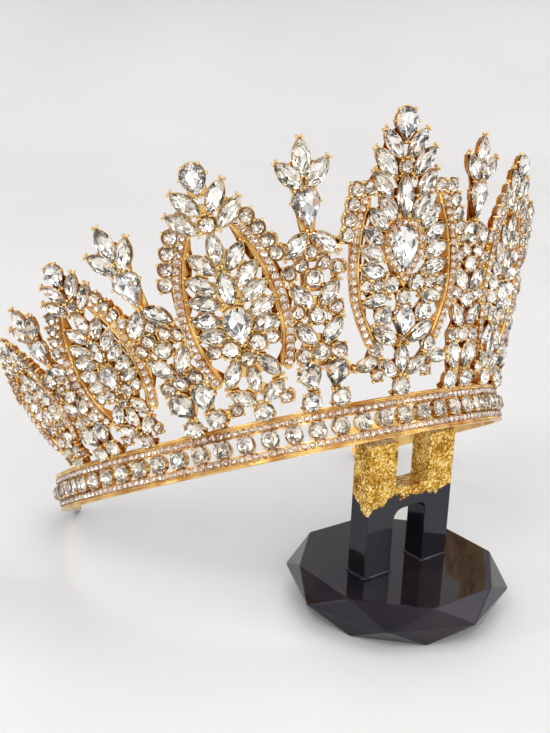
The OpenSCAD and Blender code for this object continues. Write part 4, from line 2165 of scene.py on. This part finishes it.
@dataclass
class Stand:
    """The display stand: a faceted base and two posts with softened edges.

    Attributes:
        sizes: The stand's sizes.
        nodes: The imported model's nodes.
        black: Finish of the base, the glue and the corners under the rail.
        corner_steps: Number of steps round such a corner.
    """

    sizes: StandSizes
    nodes: dict[str, bpy.types.Object]
    black: Finish = field(default_factory=BlackResinFinish)
    corner_steps: int = 10

    def soften(self, node: str, finish: Finish, segments: int) -> None:
        """Makes a piece from a node's solid with its edges bevelled.

        Args:
            node: The node it replaces.
            finish: Its finish.
            segments: Number of faces across each softened edge.
        """
        bm = bmesh.new()
        bm.from_mesh(self.nodes[node].data)
        bmesh.ops.remove_doubles(bm, verts=bm.verts, dist=1e-6)
        bmesh.ops.dissolve_limit(bm, angle_limit=math.radians(1), verts=bm.verts, edges=bm.edges)
        bmesh.ops.bevel(
            bm,
            geom=bm.edges[:],
            offset=self.sizes.edge * MM,
            offset_type="OFFSET",
            affect="EDGES",
            segments=segments,
            profile=0.5,
            material=-1,
            clamp_overlap=True,
        )
        make_piece(node + "_cast", bm, (finish.material(),), (node,))

    def add_trim(self, name: str, side: Side, bm: bmesh.types.BMesh, x: float = 0.0) -> None:
        """Adds a small piece of black resin to the posts.

        Args:
            name: Name of the piece, apart from its side.
            side: The side it is on.
            bm: Its shape in the stand's own millimetres.
            x: How far it is moved across the stand.
        """
        verts = self.nodes["stand_posts"].data.vertices
        middle = sum((v.co for v in verts), Vector()) / len(verts)
        place = shift(middle.x / MM, middle.y / MM, 0) @ turn_z(self.sizes.turn) @ shift(x, 0, 0)
        bmesh.ops.transform(bm, matrix=TO_METRES @ place, verts=bm.verts)
        make_piece(f"{name}_{side.name.lower()}", bm, (self.black.material(),))

    def add_glue(self, side: Side) -> None:
        """Makes the glue that has set round the foot of one post.

        Args:
            side: The post's side.
        """
        s = self.sizes
        bm = bmesh.new()
        bmesh.ops.create_cube(bm, size=1)
        for vert in bm.verts:
            spread = s.glue if vert.co.z < 0 else s.glue_top
            vert.co.x = math.copysign(s.post_width / 2 + spread, vert.co.x)
            vert.co.y = math.copysign(s.post_depth / 2 + spread, vert.co.y)
            vert.co.z = s.base_height + (s.glue if vert.co.z > 0 else -s.glue_sunk)
        upright = [e for e in bm.edges if abs(e.verts[0].co.z - e.verts[1].co.z) > s.glue / 2]
        bmesh.ops.bevel(
            bm,
            geom=upright,
            offset=s.glue_corner,
            affect="EDGES",
            segments=4,
            profile=0.5,
            material=-1,
        )
        for face in bm.faces:
            face.smooth = abs(face.normal.z) < 0.95
        self.add_trim("post_glue", side, bm, side.value * (s.post_gap + s.post_width) / 2)

    def add_haunch(self, side: Side, radius: float) -> None:
        """Makes the rounded corner under the rail beside one post.

        Args:
            side: The post's side.
            radius: Radius of the corner.
        """
        s = self.sizes
        under, sunk = s.level(s.rail_share), s.haunch_sunk
        steps = self.corner_steps
        turns = [math.radians(180 - 90 * i / steps) for i in range(steps + 1)]
        rim = [(radius * (1 + math.cos(a)), radius * (math.sin(a) - 1)) for a in turns]
        rim = [(-sunk, sunk), (-sunk, -radius), *rim, (radius, sunk)]
        deep = s.post_depth / 2 - s.haunch_inset
        bm = bmesh.new()
        plan = [(side.value * (s.post_gap / 2 - x), -deep, under + z) for x, z in rim]
        front = bm.faces.new([bm.verts.new(corner) for corner in plan])
        made = bmesh.ops.extrude_face_region(bm, geom=[front])["geom"]
        back = only(bmesh.types.BMVert, made)
        bmesh.ops.translate(bm, vec=(0, 2 * deep, 0), verts=back)
        bmesh.ops.recalc_face_normals(bm, faces=bm.faces)
        self.add_trim("post_haunch", side, bm)

    def build(self) -> None:
        """Makes the base, the posts and their trim."""
        s = self.sizes
        self.soften("stand_base", self.black, 2)
        for side, radius in zip((Side.LEFT, Side.RIGHT), s.haunches):
            self.add_glue(side)
            self.add_haunch(side, radius)
        verts = self.nodes["stand_posts"].data.vertices
        front = min((v.co for v in verts), key=lambda co: co.x + co.y)
        amber = AmberResinFinish(s.level(s.border_share) * MM, (front.x, front.y))
        self.soften("stand_posts", amber, 3)


@dataclass(frozen=True)
class Softbox:
    """A flat studio light.

    Attributes:
        name: Name of the light.
        place: Where it is, in metres.
        size: Its width and height, in metres.
        power: Its power, in watts.
        colour: Its colour.
        aim: The point it faces, in metres.
    """

    name: str
    place: tuple[float, float, float]
    size: tuple[float, float]
    power: float
    colour: Tint = (1.0, 1.0, 1.0)
    aim: tuple[float, float, float] = (0.0, 0.0, 0.08)

    def build(self) -> None:
        """Adds the light to the scene."""
        data = bpy.data.lights.new(self.name, "AREA")
        data.shape = "RECTANGLE"
        data.size, data.size_y = self.size
        data.energy = self.power
        data.color = self.colour
        lamp = bpy.data.objects.new(self.name, data)
        lamp.location = self.place
        aim = Vector(self.aim) - Vector(self.place)
        lamp.rotation_euler = aim.to_track_quat("-Z", "Y").to_euler()
        bpy.context.scene.collection.objects.link(lamp)


SOFTBOXES = (
    Softbox("key_panel", (-0.6, -0.35, 0.85), (0.22, 0.22), 1.1, (1.0, 0.98, 0.95)),
    Softbox("left_panel", (-0.95, 0.15, 0.45), (0.12, 0.3), 0.6),
    Softbox("right_panel", (0.7, -0.75, 0.5), (0.12, 0.35), 0.7, (0.95, 0.98, 1.0)),
    Softbox("top_panel", (0.1, 0.25, 1.1), (0.3, 0.12), 0.8),
    Softbox("front_panel", (-0.25, -0.95, 0.6), (0.3, 0.1), 0.6),
)


@dataclass
class Studio:
    """A pale table, soft light and the camera.

    Attributes:
        eye: The camera's place, in metres.
        gaze: The direction it looks in.
        roll: How far it is held askew.
        focal_px: Its focal length in pixels of the photograph's width.
        width_px: The photograph's width.
        sensor: Width of the camera's sensor.
        floor_half: How far the table reaches to each side, in metres.
        sweep_start: How far behind the crown it starts to rise, in metres.
        sweep_radius: Radius of the rise, in metres.
        sweep_angle: How steep it becomes.
        sweep_steps: Number of steps in the rise.
        backdrop: How far back and up the backdrop goes on, in metres.
        room: Brightness of the room's light.
        seen_room: Colour of the room where the camera sees past the table.
    """

    eye: tuple[float, float, float] = (-0.1828, -0.2711, 0.1651)
    gaze: tuple[float, float, float] = (0.494, 0.8183, -0.2939)
    roll: float = 2.18
    focal_px: float = 1064.0
    width_px: float = 550.0
    sensor: float = 36.0
    floor_half: float = 4.0
    sweep_start: float = 1.1
    sweep_radius: float = 0.9
    sweep_angle: float = 76.0
    sweep_steps: int = 24
    backdrop: tuple[float, float] = (0.275, 1.1)
    room: float = 0.93
    seen_room: tuple[float, float, float, float] = (0.86, 0.855, 0.86, 1.0)

    def build(self) -> None:
        """Makes the floor, the lights, the sky and the camera."""
        self.build_floor()
        self.build_sky()
        for box in SOFTBOXES:
            box.build()
        self.build_camera()
        bpy.context.scene.view_settings.view_transform = "Standard"
        cycles = bpy.context.scene.cycles
        cycles.max_bounces = 14
        cycles.transmission_bounces = 10
        cycles.glossy_bounces = 8
        cycles.caustics_reflective = False
        cycles.caustics_refractive = False

    def build_floor(self) -> None:
        """Makes the pale table, swept up behind the crown into a backdrop."""
        bm = bmesh.new()
        bmesh.ops.create_grid(bm, x_segments=1, y_segments=1, size=1)
        for vert in bm.verts:
            vert.co.x *= self.floor_half
            vert.co.y = self.sweep_start if vert.co.y > 0 else -self.floor_half
        back = [e for e in bm.edges if all(v.co.y > 0 for v in e.verts)]
        swept = bmesh.ops.spin(
            bm,
            geom=[*back, *back[0].verts],
            axis=(1, 0, 0),
            cent=(0, self.sweep_start, self.sweep_radius),
            angle=math.radians(self.sweep_angle),
            steps=self.sweep_steps,
        )["geom_last"]
        edge = only(bmesh.types.BMEdge, swept)
        raised = bmesh.ops.extrude_edge_only(bm, edges=edge)["geom"]
        top = only(bmesh.types.BMVert, raised)
        bmesh.ops.translate(bm, verts=top, vec=(0, *self.backdrop))
        heading = math.degrees(math.atan2(self.gaze[0], self.gaze[1]))
        bmesh.ops.transform(bm, matrix=turn_z(-heading), verts=bm.verts)
        bmesh.ops.recalc_face_normals(bm, faces=bm.faces)
        for face in bm.faces:
            face.smooth = True
        mesh = bpy.data.meshes.new("table")
        bm.to_mesh(mesh)
        bm.free()
        mesh.materials.append(TableFinish().material())
        floor = bpy.data.objects.new("table", mesh)
        bpy.context.scene.collection.objects.link(floor)

    def build_sky(self) -> None:
        """Makes the soft room light, with bright and dim places all round."""
        world = bpy.data.worlds.new("studio_room")
        world.use_nodes = True
        world.node_tree.nodes.clear()
        sheet = NodeSheet(world.node_tree)
        spot = sheet.add("ShaderNodeTexCoord").outputs["Generated"]
        noise = sheet.add("ShaderNodeTexNoise", vector=spot, scale=2.6, detail=1.5)
        patches = sheet.ramp(
            noise.outputs["Fac"],
            (
                (0.38, (0.1, 0.095, 0.09)),
                (0.46, (0.7, 0.68, 0.66)),
                (0.54, (1.15, 1.15, 1.16)),
                (0.64, (2.5, 2.5, 2.52)),
            ),
        )
        seen = sheet.add("ShaderNodeLightPath").outputs["Is Camera Ray"]
        colour = sheet.blend(seen, patches, self.seen_room)
        back = sheet.add("ShaderNodeBackground", color=colour, strength=self.room)
        sheet.add("ShaderNodeOutputWorld", surface=back.outputs[0])
        bpy.context.scene.world = world

    def build_camera(self) -> None:
        """Sets the camera as the photograph was taken."""
        data = bpy.data.cameras.new("camera")
        data.sensor_fit = "HORIZONTAL"
        data.sensor_width = self.sensor
        data.lens = self.focal_px / self.width_px * self.sensor
        data.clip_start = 0.01
        camera = bpy.data.objects.new("camera", data)
        camera.location = self.eye
        level = Vector(self.gaze).to_track_quat("-Z", "Y").to_matrix().to_4x4()
        camera.rotation_euler = (level @ turn_z(self.roll)).to_euler()
        bpy.context.scene.collection.objects.link(camera)
        bpy.context.scene.camera = camera


def main() -> None:
    """Loads the frame, dresses it and sets the studio."""
    logging.basicConfig(level=logging.INFO, format="%(name)s %(message)s")
    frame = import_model()
    nodes = frame["nodes"]
    sizes, stand = CrownSizes(), StandSizes()
    setter = StoneSetter(sizes, Finishes.build(), random.Random(SEED), frozenset(nodes))
    Crown(sizes, Pose.from_source(sizes, stand), setter).build(nodes["crown_frame"].data)
    Stand(stand, nodes).build()
    Studio().build()


if __name__ == "__main__":
    main()
